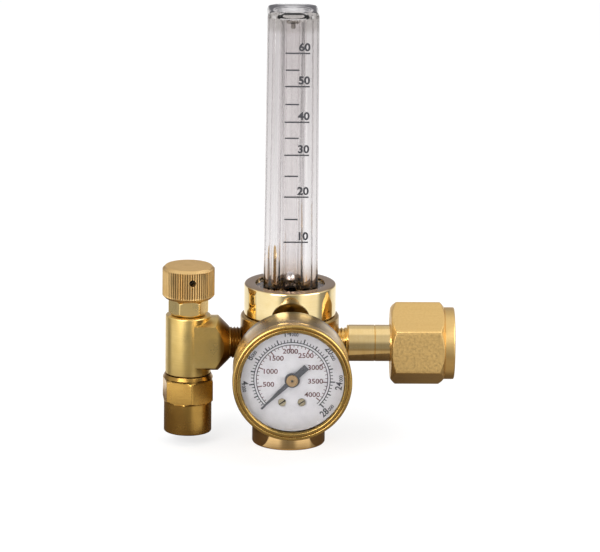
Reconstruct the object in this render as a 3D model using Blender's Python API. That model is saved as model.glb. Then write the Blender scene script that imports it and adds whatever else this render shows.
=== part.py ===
"""Carbon dioxide welding regulator with a flow tube, built piece by piece.

Sizes are in metres. +Z is up and -Y is the front, where the gauge looks out. The origin is the
middle of the flat face that the regulator stands on. The cylinder nut is at +X and the flow
valve at -X.
"""

import math

import bmesh
import bpy

# Clearances
FIT = 0.0003  # between pieces that seat on or in each other
FINE_FIT = 0.0002  # between the small pieces of the gauge movement
OVERCUT = 0.001  # how far a cutter runs past the face that it opens
CHAMFER = 0.0005  # plain broken edge on turned brass

# Facets round a full turn
LARGE = 32
MEDIUM = 24
SMALL = 16
TINY = 10

# Base cap
BASE_DIAMETER = 0.0314
BASE_HEIGHT = 0.0140
BASE_EDGE = 0.0008
BASE_FLOOR = 0.0030
PLUG_LENGTH = 0.0085

# Regulator body
BODY_DIAMETER = 0.0424
BODY_LENGTH = 0.0427
BODY_BORE = 0.0300
BODY_EDGE = 0.0010
CHAMBER_DEPTH = 0.0167
SPIGOT_DIAMETER = 0.0340
SPIGOT_LENGTH = 0.0065
GALLERY_DIAMETER = 0.0260
PORT_HEIGHT = 0.0440
PORT_THREAD = 0.0137
GAUGE_HEIGHT = 0.0403
INLET_SOCKET_DEPTH = 0.0103
OUTLET_SOCKET_DEPTH = 0.0117
GAUGE_SOCKET_DEPTH = 0.0092
PASSAGE = 0.0040
GAUGE_PASSAGE = 0.0028
HIGH_CHAMBER = 0.0050
HIGH_CHAMBER_TOP = 0.0025
RISER_DIAMETER = 0.0020
RISER_OFFSET = 0.0062
RETURN_DIAMETER = 0.0024

# Piston, spring and nozzle
PISTON_HEAD = 0.0055
PISTON_BORE = 0.0240
PISTON_LIFT = 0.0030
STEM_DIAMETER = 0.0080
STEM_PASSAGE = 0.0030
STEM_PORT = 0.0020
SEAT_DISC_DIAMETER = 0.0054
SEAT_DISC_THICKNESS = 0.0018
SEAT_DISC_PROUD = 0.0003
PISTON_TRAVEL = 0.0006
NOZZLE_DIAMETER = 0.0080
NOZZLE_LENGTH = 0.0058
NOZZLE_FLANGE = 0.0110
NOZZLE_FLANGE_THICKNESS = 0.0011
NOZZLE_RIM = 0.0034
NOZZLE_BORE = 0.0016
SPRING_DIAMETER = 0.0205
SPRING_WIRE = 0.0020
SPRING_TURNS = 4.5
RING_WIRE = 0.0015

# Flow tube, its cover and the collar
COLLAR_DIAMETER = 0.0395
COLLAR_EDGE = 0.0008
LIP_THICKNESS = 0.0027
FLANGE_THICKNESS = 0.0039
STEP_SINK = 0.0011
COVER_LENGTH = 0.1214
COVER_WIDTH = 0.0233
COVER_WIDTH_TOP = 0.0219
COVER_CORNER = 0.0032
COVER_TOP_EDGE = 0.0010
COVER_ROOF = 0.0028
COVER_BORE = 0.0184
COVER_BORE_TOP = 0.0170
TUBE_OUTER = 0.0103
TUBE_OUTER_TOP = 0.0136
TUBE_BORE = 0.0070
TUBE_BORE_TOP = 0.0098
TUBE_VENT = 0.0020
FOOT_DIAMETER = 0.0160
FOOT_LENGTH = 0.0060
FOOT_POCKET = 0.0012
JET_DIAMETER = 0.0040
BALL_DIAMETER = 0.00635
BALL_HEIGHT = 0.0728
STOP_DISC = 0.0025
STOP_PIN = 0.0025
STOP_PIN_DIAMETER = 0.0030
STOP_ARM = 0.0024

# Inlet nipple, washer, filter and nut
NIPPLE_DIAMETER = 0.0158
NIPPLE_LENGTH = 0.0245
NIPPLE_STANDOFF = 0.0033
HEAD_DIAMETER = 0.0198
HEAD_LENGTH = 0.0050
FILTER_DIAMETER = 0.0086
FILTER_LENGTH = 0.0070
FILTER_BORE = 0.0046
FILTER_SINK = 0.0020
WASHER_OUTER = 0.0194
WASHER_INNER = 0.0104
WASHER_THICKNESS = 0.0022
NUT_FLATS = 0.03175
NUT_HEX_LENGTH = 0.0231
NUT_RING = 0.0310
NUT_RING_LENGTH = 0.0043
NUT_BACK = 0.0053
NUT_THREAD = 0.02096
NUT_MOUTH = 0.0225
NUT_CORNER_CUT = 0.0020

# Flow valve
VALVE_OFFSET = 0.0436
VALVE_DIAMETER = 0.0195
VALVE_BOTTOM = 0.0307
VALVE_LENGTH = 0.0258
BOSS_FLAT = 0.0188
BOSS_CROWN = 0.0234
BOSS_CROWN_RADIUS = 0.0184
BOSS_END = 0.0176
BOSS_CONE_ANGLE = 45.0
VALVE_THREAD_END = 0.0309
VALVE_PASSAGE = 0.0060
STEM_BORE = 0.0068
ORIFICE = 0.0026
ORIFICE_DROP = 0.0036
ORIFICE_LENGTH = 0.0040
PACKING_BORE = 0.0088
PACKING_DEPTH = 0.0060
PACKING_HEIGHT = 0.0024
GLAND_HEIGHT = 0.0016
VALVE_STEM = 0.0040
STEM_THREAD_LENGTH = 0.0027
STEM_THREAD_DROP = 0.0104
NEEDLE = 0.0036
NEEDLE_TIP = 0.0008
NEEDLE_LENGTH = 0.0036
PACKING_NUT_FLATS = 0.0150
PACKING_NUT_HEIGHT = 0.0070
PACKING_NUT_CUT = 0.0013
PACKING_NUT_TURN = 4.0
KNOB_DIAMETER = 0.0224
KNOB_HEIGHT = 0.0140
KNOB_BEVEL = 0.0012
KNOB_RIDGES = 64
KNOB_RIDGE_DEPTH = 0.00035
KNOB_BORE_DEPTH = 0.0120
KNOB_SCREW_HEIGHT = 0.0087
KNOB_SCREW = 0.0024
KNOB_SCREW_LENGTH = 0.0045
KNOB_SCREW_TURN = 8.8

# Outlet connector
CONNECTOR_LENGTH = 0.0256
CONNECTOR_SLEEVE = 0.0205
CONNECTOR_SLEEVE_LENGTH = 0.0136
CONNECTOR_FLATS = 0.0202
CONNECTOR_TURN = 8.0
CONNECTOR_NECK = 0.0022
CONNECTOR_NECK_DIAMETER = 0.0216
OUTLET_THREAD = 0.0148
OUTLET_DEPTH = 0.0115
OUTLET_MOUTH = 0.0160
VALVE_SPIGOT = 0.0130
VALVE_SPIGOT_LENGTH = 0.0080

# Gauge shell, measured forward from the body's axis
CASE_BACK = 0.0268
CASE_DIAMETER = 0.0498
CASE_WALL = 0.0012
CASE_EDGE = 0.0014
CASE_RIM_STEP = 0.0007
BEZEL_OVERHANG = 0.0005
BEZEL_FRONT = 0.0522
BEZEL_LIP = 0.0010
BEZEL_LAP = 0.00235
BEZEL_SKIRT = 0.0052
LENS_THICKNESS = 0.0016
GASKET_THICKNESS = 0.0006
GASKET_WIDTH = 0.0016
DIAL_DEPTH = 0.0070
DIAL_THICKNESS = 0.0008
DIAL_MARGIN = 0.0005

# Gauge socket, dial screws and pointer
SOCKET_HEX_FLATS = 0.0143
SOCKET_HEX_LENGTH = 0.0044
SOCKET_NECK = 0.0104
ARM_THICKNESS = 0.0030
ARM_WIDTH = 0.0100
ROOT_HEIGHT = 0.0088
POST_SPACING = 0.0082
POST_DROP = 0.0098
POST_DIAMETER = 0.0034
DIAL_SCREW_HEAD = 0.0033
DIAL_SCREW_HEAD_HEIGHT = 0.0008
DIAL_SCREW_SHANK = 0.0016
DIAL_SCREW_LENGTH = 0.0030
POINTER_GAP = 0.0012
POINTER_THICKNESS = 0.0005
POINTER_DISC = 0.0064
POINTER_MARGIN = 0.0050
POINTER_TAIL = 0.0083
POINTER_TAIL_WIDTH = 0.0027
POINTER_REST = 224.0
HUB_DIAMETER = 0.0051
HUB_HEIGHT = 0.0011
HUB_SLEEVE = 0.0032

# Bourdon tube and movement
BOURDON_CLEARANCE = 0.0055
BOURDON_WIDTH = 0.0050
BOURDON_THICKNESS = 0.0020
BOURDON_START = -74.0
BOURDON_END = 195.0
BOURDON_RISE = 0.0048
PLATE_THICKNESS = 0.0008
PLATE_SPACING = 0.0060
ARBOR = 0.0014
PINION_TEETH = 9
SECTOR_TEETH = 54
TOOTH_MODULE = 0.0004
GEAR_BACKLASH = 0.0001
PINION_LENGTH = 0.0024
SECTOR_THICKNESS = 0.0012
SECTOR_PLACE = 145.0
SECTOR_MARGIN = 10.0
POINTER_SWEEP = 264.0
SECTOR_HUB = 0.0030
TAIL_LENGTH = 0.0026
TAIL_ANGLE = 170.0
LINK_WIDTH = 0.0016
LINK_THICKNESS = 0.0005
HAIRSPRING_INNER = 0.0014
HAIRSPRING_OUTER = 0.0034
HAIRSPRING_TURNS = 2.5
HAIRSPRING_STRIP = 0.00025
HAIRSPRING_WIDTH = 0.0005
PILLAR = 0.0018

# Levels along the body's axis, each from the sizes above
BODY_BOTTOM = BASE_HEIGHT + FIT
SHOULDER = BODY_BOTTOM + BODY_LENGTH
CHAMBER_ROOF = BODY_BOTTOM + CHAMBER_DEPTH
SPIGOT_TOP = SHOULDER + SPIGOT_LENGTH
FOOT_FLOOR = SHOULDER - FOOT_LENGTH - FIT
POCKET_FLOOR = FOOT_FLOOR - FOOT_POCKET
COLLAR_BOTTOM = SHOULDER + FIT
FLANGE_BOTTOM = SPIGOT_TOP + FIT
FLANGE_TOP = FLANGE_BOTTOM + FLANGE_THICKNESS
LIP_BOTTOM = FLANGE_TOP + FIT
COLLAR_TOP = LIP_BOTTOM + LIP_THICKNESS
STEP_TOP = COLLAR_TOP - STEP_SINK
COVER_TOP = STEP_TOP + COVER_LENGTH
ROOF_UNDERSIDE = COVER_TOP - COVER_ROOF
TUBE_BOTTOM = FOOT_FLOOR + FIT
TUBE_TOP = ROOF_UNDERSIDE - FIT
STEP_RADIUS = math.hypot(COVER_WIDTH / 2, COVER_WIDTH / 2 - COVER_CORNER) + FINE_FIT
LIP_RADIUS = STEP_RADIUS + FIT
PISTON_BOTTOM = BASE_FLOOR + PISTON_LIFT
PISTON_TOP = PISTON_BOTTOM + PISTON_HEAD

# Radii about the gauge's axis
CASE_RIM = CASE_DIAMETER / 2 - CASE_RIM_STEP
CASE_BORE = CASE_RIM - CASE_WALL
BEZEL_RADIUS = CASE_DIAMETER / 2 + BEZEL_OVERHANG
WINDOW_RADIUS = CASE_RIM - BEZEL_LAP
DIAL_RADIUS = CASE_BORE - DIAL_MARGIN
POINTER_REACH = DIAL_RADIUS - POINTER_MARGIN
BOURDON_RADIUS = CASE_BORE - BOURDON_CLEARANCE

# Levels forward from the body's axis
BODY_FRONT = BODY_DIAMETER / 2
CASE_FLOOR = CASE_BACK + CASE_WALL
LENS_FRONT = BEZEL_FRONT - BEZEL_LIP - FIT
LENS_BACK = LENS_FRONT - LENS_THICKNESS
GASKET_BACK = LENS_BACK - FIT - GASKET_THICKNESS
CASE_FRONT = GASKET_BACK - FIT
BEZEL_BACK = BEZEL_FRONT - BEZEL_SKIRT
DIAL_FRONT = BEZEL_FRONT - DIAL_DEPTH
DIAL_BACK = DIAL_FRONT - DIAL_THICKNESS
POINTER_BACK = DIAL_FRONT + POINTER_GAP
POINTER_FRONT = POINTER_BACK + POINTER_THICKNESS
ARM_BACK = CASE_FLOOR + FIT
ARM_FRONT = ARM_BACK + ARM_THICKNESS
PLATE_BACK = ARM_FRONT + FINE_FIT
PLATE_FRONT = PLATE_BACK + PLATE_THICKNESS + PLATE_SPACING
SECTOR_DISTANCE = TOOTH_MODULE * (PINION_TEETH + SECTOR_TEETH) / 2 + GEAR_BACKLASH

# Levels outward along the two side ports
NIPPLE_START = BODY_DIAMETER / 2 - INLET_SOCKET_DEPTH + FIT
BAR_START = BODY_DIAMETER / 2 + NIPPLE_STANDOFF
BAR_END = BAR_START + NIPPLE_LENGTH
HEAD_END = BAR_END + HEAD_LENGTH
NUT_START = BAR_END - FIT - NUT_BACK
NUT_END = NUT_START + NUT_HEX_LENGTH + NUT_RING_LENGTH

# Levels up the valve's axis
VALVE_TOP = VALVE_BOTTOM + VALVE_LENGTH
PACKING_FLOOR = VALVE_TOP - PACKING_DEPTH
PACKING_NUT_BOTTOM = VALVE_TOP + FIT
PACKING_NUT_TOP = PACKING_NUT_BOTTOM + PACKING_NUT_HEIGHT
KNOB_BOTTOM = PACKING_NUT_TOP + FIT
KNOB_TOP = KNOB_BOTTOM + KNOB_HEIGHT
CONNECTOR_TOP = VALVE_BOTTOM - FIT
CONNECTOR_BOTTOM = CONNECTOR_TOP - CONNECTOR_LENGTH


# Meshes


def lathe(outline, sides):
    """Turn (radius, height) pairs about +Z. An outline that ends on the axis stays open there."""
    mesh = bmesh.new()
    points = [mesh.verts.new((radius, 0.0, height)) for radius, height in outline]
    edges = [mesh.edges.new(pair) for pair in zip(points, points[1:])]
    if outline[0][0] > 0.0:
        edges.append(mesh.edges.new((points[-1], points[0])))
    bmesh.ops.spin(
        mesh,
        geom=points + edges,
        cent=(0.0, 0.0, 0.0),
        axis=(0.0, 0.0, 1.0),
        angle=math.tau,
        steps=sides,
        use_merge=True,
    )
    bmesh.ops.remove_doubles(mesh, verts=mesh.verts, dist=1e-6)
    bmesh.ops.recalc_face_normals(mesh, faces=mesh.faces)
    return mesh


def loft(rings):
    """Skin rings of equal length and cap the first and the last."""
    mesh = bmesh.new()
    loops = [[mesh.verts.new(point) for point in ring] for ring in rings]
    mesh.faces.new(loops[0])
    mesh.faces.new(loops[-1])
    for lower, upper in zip(loops, loops[1:]):
        for i, corner in enumerate(lower):
            mesh.faces.new((corner, lower[i - 1], upper[i - 1], upper[i]))
    bmesh.ops.recalc_face_normals(mesh, faces=mesh.faces)
    return mesh


def prism(outline, bottom, top):
    """Extrude a flat outline of (x, y) pairs from one height to another."""
    return loft([[(x, y, height) for x, y in outline] for height in (bottom, top)])


def circle(radius, sides, centre=(0.0, 0.0)):
    """Points round a circle, counter-clockwise."""
    angles = [math.tau * i / sides for i in range(sides)]
    return [(centre[0] + radius * math.cos(a), centre[1] + radius * math.sin(a)) for a in angles]


def rod(radius, bottom, top, sides, centre=(0.0, 0.0)):
    """Plain round rod along Z."""
    return prism(circle(radius, sides, centre), bottom, top)


def hexagon(across_flats, turn=0.0):
    """Corners of a hexagon whose first corner lies at the given angle in degrees."""
    corner = across_flats / math.sqrt(3.0)
    angles = [math.radians(turn + 60.0 * i) for i in range(6)]
    return [(corner * math.cos(a), corner * math.sin(a)) for a in angles]


def box(x_range, y_range, z_range):
    """Block between two limits on each axis."""
    (left, right), (near, far) = x_range, y_range
    outline = [(left, near), (right, near), (right, far), (left, far)]
    return prism(outline, *z_range)


def convex_outline(points):
    """Smallest convex outline round the points, counter-clockwise."""
    ordered = sorted(set(points))

    def half(sequence):
        chain = []
        for point in sequence:
            while len(chain) > 1 and turn_of(chain[-2], chain[-1], point) <= 1e-12:
                chain.pop()
            chain.append(point)
        return chain[:-1]

    return half(ordered) + half(reversed(ordered))


def turn_of(a, b, c):
    """Positive where a, b and c turn counter-clockwise."""
    return (b[0] - a[0]) * (c[1] - a[1]) - (b[1] - a[1]) * (c[0] - a[0])


def coil(section, steps, angles, radii, heights):
    """Sweep a (radius, height) section along a coil, each pair giving its start and end."""
    rings = []
    for i in range(steps + 1):
        share = i / steps
        angle = math.radians(angles[0] + (angles[1] - angles[0]) * share)
        radius = radii[0] + (radii[1] - radii[0]) * share
        height = heights[0] + (heights[1] - heights[0]) * share
        rings.append(
            [
                ((radius + r) * math.cos(angle), (radius + r) * math.sin(angle), height + h)
                for r, h in section
            ]
        )
    return loft(rings)


def ring_mesh(radius, wire, height, sides, wire_sides=6):
    """O-ring about +Z."""
    return lathe([(radius + r, height + h) for r, h in circle(wire / 2, wire_sides)], sides)


# Objects


def clear_scene():
    for item in list(bpy.data.objects):
        bpy.data.objects.remove(item)


def finish(name, colour, roughness, metallic=1.0, alpha=1.0):
    """Principled material of one plain colour."""
    material = bpy.data.materials.new(name)
    material.use_nodes = True
    shader = material.node_tree.nodes["Principled BSDF"]
    shader.inputs["Base Color"].default_value = (*colour, 1.0)
    shader.inputs["Roughness"].default_value = roughness
    shader.inputs["Metallic"].default_value = metallic
    shader.inputs["Alpha"].default_value = alpha
    material.diffuse_color = (*colour, alpha)
    return material


def frame(name, location, rotation=(0.0, 0.0, 0.0)):
    """Empty that carries the pieces of one axis. The rotation is in degrees."""
    empty = bpy.data.objects.new(name, None)
    bpy.context.scene.collection.objects.link(empty)
    empty.location = location
    empty.rotation_euler = [math.radians(angle) for angle in rotation]
    return empty


def put(name, mesh, parent, location=(0.0, 0.0, 0.0), turn=0.0):
    """Object from a mesh, placed under its frame and turned about its own Z in degrees."""
    data = bpy.data.meshes.new(name)
    mesh.to_mesh(data)
    mesh.free()
    data.shade_smooth()
    data.set_sharp_from_angle(angle=math.radians(30.0))
    item = bpy.data.objects.new(name, data)
    bpy.context.scene.collection.objects.link(item)
    item.parent = parent
    item.location = location
    item.rotation_euler = (0.0, 0.0, math.radians(turn))
    return item


def piece(name, mesh, material, parent, location=(0.0, 0.0, 0.0), turn=0.0):
    """One real piece of the regulator."""
    item = put(name, mesh, parent, location, turn)
    item.data.materials.append(material)
    return item


def shape(item, operation, name, mesh, parent, location=(0.0, 0.0, 0.0), turn=0.0):
    """Combine a piece with a hidden guide by a Boolean."""
    guide = put(f"{item.name}_{name}", mesh, parent, location, turn)
    guide.hide_render = True
    guide.display_type = "WIRE"
    modifier = item.modifiers.new(name, "BOOLEAN")
    modifier.operation = operation
    modifier.object = guide
    modifier.solver = "EXACT"


# Body, piston and base cap


def make_base_cap(materials, axis):
    outer = BASE_DIAMETER / 2
    plug = BODY_BORE / 2 - FIT
    bore = PISTON_BORE / 2
    outline = [
        (0.0, 0.0),
        (outer - BASE_EDGE, 0.0),
        (outer, BASE_EDGE),
        (outer, BASE_HEIGHT),
        (plug, BASE_HEIGHT),
        (plug, BASE_HEIGHT + PLUG_LENGTH),
        (bore, BASE_HEIGHT + PLUG_LENGTH),
        (bore, BASE_FLOOR),
        (STEM_DIAMETER / 2, BASE_FLOOR),
        (STEM_DIAMETER / 2, PISTON_BOTTOM - FIT),
        (0.0, PISTON_BOTTOM - FIT),
    ]
    piece("base_cap", lathe(outline, LARGE), materials["base_brass"], axis)


def make_body(materials, axis, inlet, outlet, gauge):
    outer = BODY_DIAMETER / 2
    spigot = SPIGOT_DIAMETER / 2
    gallery = GALLERY_DIAMETER / 2
    foot = FOOT_DIAMETER / 2 + FIT
    groove_inner, groove_outer = seal_groove()
    outline = [
        (0.0, CHAMBER_ROOF),
        (BODY_BORE / 2, CHAMBER_ROOF),
        (BODY_BORE / 2, BODY_BOTTOM),
        (outer - CHAMFER, BODY_BOTTOM),
        (outer, BODY_BOTTOM + CHAMFER),
        (outer, SHOULDER - BODY_EDGE),
        (outer - BODY_EDGE, SHOULDER),
        (spigot, SHOULDER),
        (spigot, SPIGOT_TOP),
        (groove_outer, SPIGOT_TOP),
        (groove_outer, SPIGOT_TOP - RING_WIRE),
        (groove_inner, SPIGOT_TOP - RING_WIRE),
        (groove_inner, SPIGOT_TOP),
        (gallery, SPIGOT_TOP),
        (gallery, SHOULDER),
        (foot, SHOULDER),
        (foot, FOOT_FLOOR),
        (foot - FOOT_POCKET, FOOT_FLOOR),
        (foot - FOOT_POCKET, POCKET_FLOOR),
        (0.0, POCKET_FLOOR),
    ]
    body = piece("regulator_body", lathe(outline, LARGE), materials["body_brass"], axis)
    bore_port(body, "inlet_port", inlet, INLET_SOCKET_DEPTH, PASSAGE)
    bore_port(body, "gauge_port", gauge, GAUGE_SOCKET_DEPTH, GAUGE_PASSAGE)
    socket = rod(PORT_THREAD / 2 + FIT, outer - OUTLET_SOCKET_DEPTH, outer + OVERCUT, SMALL)
    shape(body, "DIFFERENCE", "outlet_port", socket, outlet)
    thread_top = CHAMBER_ROOF + NOZZLE_LENGTH + FIT
    steps = [
        (0.0, CHAMBER_ROOF - OVERCUT),
        (NOZZLE_DIAMETER / 2 + FIT, CHAMBER_ROOF - OVERCUT),
        (NOZZLE_DIAMETER / 2 + FIT, thread_top),
        (HIGH_CHAMBER / 2, thread_top),
        (HIGH_CHAMBER / 2, PORT_HEIGHT + HIGH_CHAMBER_TOP),
        (0.0, PORT_HEIGHT + HIGH_CHAMBER_TOP),
    ]
    shape(body, "DIFFERENCE", "nozzle_hole", lathe(steps, SMALL), axis)
    riser = rod(RISER_DIAMETER / 2, CHAMBER_ROOF - OVERCUT, POCKET_FLOOR + FIT, TINY)
    shape(body, "DIFFERENCE", "riser", riser, axis, (0.0, RISER_OFFSET, 0.0))
    back = outer - OUTLET_SOCKET_DEPTH + RETURN_DIAMETER / 2 + FIT
    drop = rod(RETURN_DIAMETER / 2, PORT_HEIGHT, SHOULDER + OVERCUT, TINY)
    shape(body, "DIFFERENCE", "return_hole", drop, axis, (-back, 0.0, 0.0))


def bore_port(body, name, port_axis, depth, passage):
    """Threaded socket from the outside and a passage on to the middle of the body."""
    outer = BODY_DIAMETER / 2
    outline = [
        (0.0, 0.0),
        (passage / 2, 0.0),
        (passage / 2, outer - depth),
        (PORT_THREAD / 2 + FIT, outer - depth),
        (PORT_THREAD / 2 + FIT, outer + OVERCUT),
        (0.0, outer + OVERCUT),
    ]
    shape(body, "DIFFERENCE", name, lathe(outline, SMALL), port_axis)


def seal_groove():
    """Inner and outer radius of the groove under the cover's flange."""
    middle = (SPIGOT_DIAMETER + GALLERY_DIAMETER) / 4
    half = RING_WIRE / 2 + FINE_FIT
    return middle - half, middle + half


def make_piston(materials, axis):
    head = PISTON_BORE / 2 - FIT
    groove_depth = head - RING_WIRE
    middle = PISTON_BOTTOM + PISTON_HEAD / 2
    half = RING_WIRE / 2 + FINE_FIT
    stem = STEM_DIAMETER / 2
    disc = SEAT_DISC_DIAMETER / 2
    disc_floor = disc_bottom() - FINE_FIT
    stem_top = disc_bottom() + SEAT_DISC_THICKNESS - SEAT_DISC_PROUD
    outline = [
        (0.0, PISTON_BOTTOM),
        (head, PISTON_BOTTOM),
        (head, middle - half),
        (groove_depth, middle - half),
        (groove_depth, middle + half),
        (head, middle + half),
        (head, PISTON_TOP),
        (stem, PISTON_TOP),
        (stem, stem_top),
        (disc + FIT, stem_top),
        (disc + FIT, disc_floor),
        (0.0, disc_floor),
    ]
    piston = piece("piston", lathe(outline, SMALL), materials["bright_brass"], axis)
    port_height = disc_floor - STEM_PORT
    passage = rod(STEM_PASSAGE / 2, PISTON_BOTTOM - OVERCUT, port_height, TINY)
    shape(piston, "DIFFERENCE", "passage", passage, axis)
    reach = (-stem - OVERCUT, stem + OVERCUT)
    half_port = STEM_PORT / 2
    cross = box(reach, (-half_port, half_port), (port_height - STEM_PORT, port_height - FIT))
    shape(piston, "DIFFERENCE", "cross_port", cross, axis)
    ring = ring_mesh(groove_depth + RING_WIRE / 2 + FINE_FIT, RING_WIRE, middle, SMALL)
    piece("piston_oring", ring, materials["rubber"], axis)
    top = disc_bottom() + SEAT_DISC_THICKNESS
    piece("seat_disc", rod(disc, disc_bottom(), top, SMALL), materials["nylon"], axis)


def disc_bottom():
    """Underside of the seat disc, one travel and one clearance below the nozzle's rim."""
    return nozzle_rim_height() - FIT - PISTON_TRAVEL - SEAT_DISC_THICKNESS


def nozzle_rim_height():
    return CHAMBER_ROOF - FIT - NOZZLE_FLANGE_THICKNESS - NOZZLE_RIM / 4


def make_nozzle(materials, axis):
    bore = NOZZLE_BORE / 2
    flange_top = CHAMBER_ROOF - FIT
    flange_bottom = flange_top - NOZZLE_FLANGE_THICKNESS
    outline = [
        (bore, nozzle_rim_height()),
        (NOZZLE_RIM / 4, nozzle_rim_height()),
        (NOZZLE_RIM / 2, flange_bottom),
        (NOZZLE_FLANGE / 2, flange_bottom),
        (NOZZLE_FLANGE / 2, flange_top),
        (NOZZLE_DIAMETER / 2, flange_top),
        (NOZZLE_DIAMETER / 2, flange_top + NOZZLE_LENGTH),
        (bore, flange_top + NOZZLE_LENGTH),
    ]
    piece("nozzle", lathe(outline, SMALL), materials["bright_brass"], axis)


def make_spring(materials, axis):
    wire = SPRING_WIRE / 2
    bottom = PISTON_TOP + FIT + wire
    top = CHAMBER_ROOF - FIT - wire
    middle = SPRING_DIAMETER / 2 - wire
    spring = coil(
        circle(wire, 6),
        round(12 * SPRING_TURNS),
        (0.0, 360.0 * SPRING_TURNS),
        (middle, middle),
        (bottom, top),
    )
    piece("regulating_spring", spring, materials["steel"], axis)


# Flow tube


def make_collar(materials, axis):
    outer = COLLAR_DIAMETER / 2
    bore = SPIGOT_DIAMETER / 2 + FIT
    outline = [
        (bore, COLLAR_BOTTOM),
        (outer - CHAMFER, COLLAR_BOTTOM),
        (outer, COLLAR_BOTTOM + CHAMFER),
        (outer, COLLAR_TOP - COLLAR_EDGE),
        (outer - COLLAR_EDGE, COLLAR_TOP),
        (LIP_RADIUS, COLLAR_TOP),
        (LIP_RADIUS, LIP_BOTTOM),
        (bore, LIP_BOTTOM),
    ]
    piece("tube_collar", lathe(outline, LARGE), materials["mirror_brass"], axis)


def make_cover(materials, axis):
    flange = SPIGOT_DIAMETER / 2
    outline = [
        (0.0, FLANGE_BOTTOM),
        (flange, FLANGE_BOTTOM),
        (flange, FLANGE_TOP),
        (STEP_RADIUS, FLANGE_TOP),
        (STEP_RADIUS, STEP_TOP),
        (0.0, STEP_TOP),
    ]
    cover = piece("flow_tube_cover", lathe(outline, MEDIUM), materials["clear_plastic"], axis)
    root = [(x, y, FLANGE_TOP) for x, y in cut_square(COVER_WIDTH, COVER_CORNER)]
    shoulder_width = COVER_WIDTH_TOP
    edge = COVER_TOP - COVER_TOP_EDGE
    shoulder = [(x, y, edge) for x, y in cut_square(shoulder_width, COVER_CORNER)]
    crown_width = shoulder_width - 2 * COVER_TOP_EDGE
    crown = [(x, y, COVER_TOP) for x, y in cut_square(crown_width, COVER_CORNER * 0.8)]
    shape(cover, "UNION", "prism", loft([root, shoulder, crown]), axis)
    bore = [
        (0.0, FLANGE_BOTTOM - OVERCUT),
        (COVER_BORE / 2, FLANGE_BOTTOM - OVERCUT),
        (COVER_BORE / 2, STEP_TOP),
        (COVER_BORE_TOP / 2, ROOF_UNDERSIDE),
        (0.0, ROOF_UNDERSIDE),
    ]
    shape(cover, "DIFFERENCE", "bore", lathe(bore, MEDIUM), axis)


def cut_square(width, corner):
    """Square outline whose corners are cut at 45 degrees."""
    half = width / 2
    short = half - corner
    quarter = [(half, -short), (half, short)]
    outline = []
    for _ in range(4):
        outline += quarter
        quarter = [(-y, x) for x, y in quarter]
    return outline


def tube_radius(bottom_diameter, top_diameter, height):
    """Radius of the tapered tube at a height between its seat and its top."""
    share = (height - seat_height()) / (TUBE_TOP - seat_height())
    return (bottom_diameter + (top_diameter - bottom_diameter) * share) / 2


def seat_height():
    """Shoulder round the jet, just below where the resting ball would touch the jet's edge."""
    drop = math.sqrt((BALL_DIAMETER / 2) ** 2 - (JET_DIAMETER / 2) ** 2)
    return BALL_HEIGHT - drop - FIT


def make_inner_tube(materials, axis):
    foot = FOOT_DIAMETER / 2
    foot_top = TUBE_BOTTOM + FOOT_LENGTH
    middle = TUBE_BOTTOM + FOOT_LENGTH / 2
    half = RING_WIRE / 2 + FINE_FIT
    groove = foot - RING_WIRE
    outline = [
        (JET_DIAMETER / 2, TUBE_BOTTOM),
        (foot, TUBE_BOTTOM),
        (foot, middle - half),
        (groove, middle - half),
        (groove, middle + half),
        (foot, middle + half),
        (foot, foot_top),
        (TUBE_OUTER / 2, foot_top),
        (TUBE_OUTER / 2, seat_height()),
        (TUBE_OUTER_TOP / 2, TUBE_TOP),
        (TUBE_BORE_TOP / 2, TUBE_TOP),
        (TUBE_BORE / 2, seat_height()),
        (JET_DIAMETER / 2, seat_height()),
    ]
    tube = piece("inner_flow_tube", lathe(outline, SMALL), materials["clear_plastic"], axis)
    half_vent = TUBE_VENT / 2
    for name, turn in (("vent_x", 0.0), ("vent_y", 90.0)):
        slot = box(
            (-TUBE_OUTER_TOP, TUBE_OUTER_TOP),
            (-half_vent, half_vent),
            (TUBE_TOP - TUBE_VENT, TUBE_TOP + OVERCUT),
        )
        shape(tube, "DIFFERENCE", name, slot, axis, turn=turn)
    ring = ring_mesh(groove + RING_WIRE / 2 + FINE_FIT, RING_WIRE, middle, SMALL)
    piece("tube_foot_oring", ring, materials["rubber"], axis)
    seal_inner, seal_outer = seal_groove()
    level = (SPIGOT_TOP - RING_WIRE + FLANGE_BOTTOM) / 2
    wire = RING_WIRE - FINE_FIT
    seal = ring_mesh((seal_inner + seal_outer) / 2, wire, level, MEDIUM)
    piece("cover_oring", seal, materials["rubber"], axis)


def make_ball_stop(materials, axis):
    top = TUBE_TOP - FIT
    bottom = top - STOP_DISC
    reach = tube_radius(TUBE_BORE, TUBE_BORE_TOP, bottom) - FIT
    half = STOP_ARM / 2
    stop = piece(
        "ball_stop",
        box((-reach + CHAMFER, reach - CHAMFER), (-half, half), (bottom, top)),
        materials["white_plastic"],
        axis,
        turn=45.0,
    )
    arm = box((-half, half), (-reach + CHAMFER, reach - CHAMFER), (bottom, top))
    shape(stop, "UNION", "arm", arm, axis, turn=45.0)
    pin = rod(STOP_PIN_DIAMETER / 2, bottom - STOP_PIN, top - CHAMFER, TINY)
    shape(stop, "UNION", "pin", pin, axis)


def make_ball(materials, axis):
    ball = bmesh.new()
    bmesh.ops.create_uvsphere(ball, u_segments=16, v_segments=8, radius=BALL_DIAMETER / 2)
    piece("flow_ball", ball, materials["chrome"], axis, (0.0, 0.0, BALL_HEIGHT))


# Inlet


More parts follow.
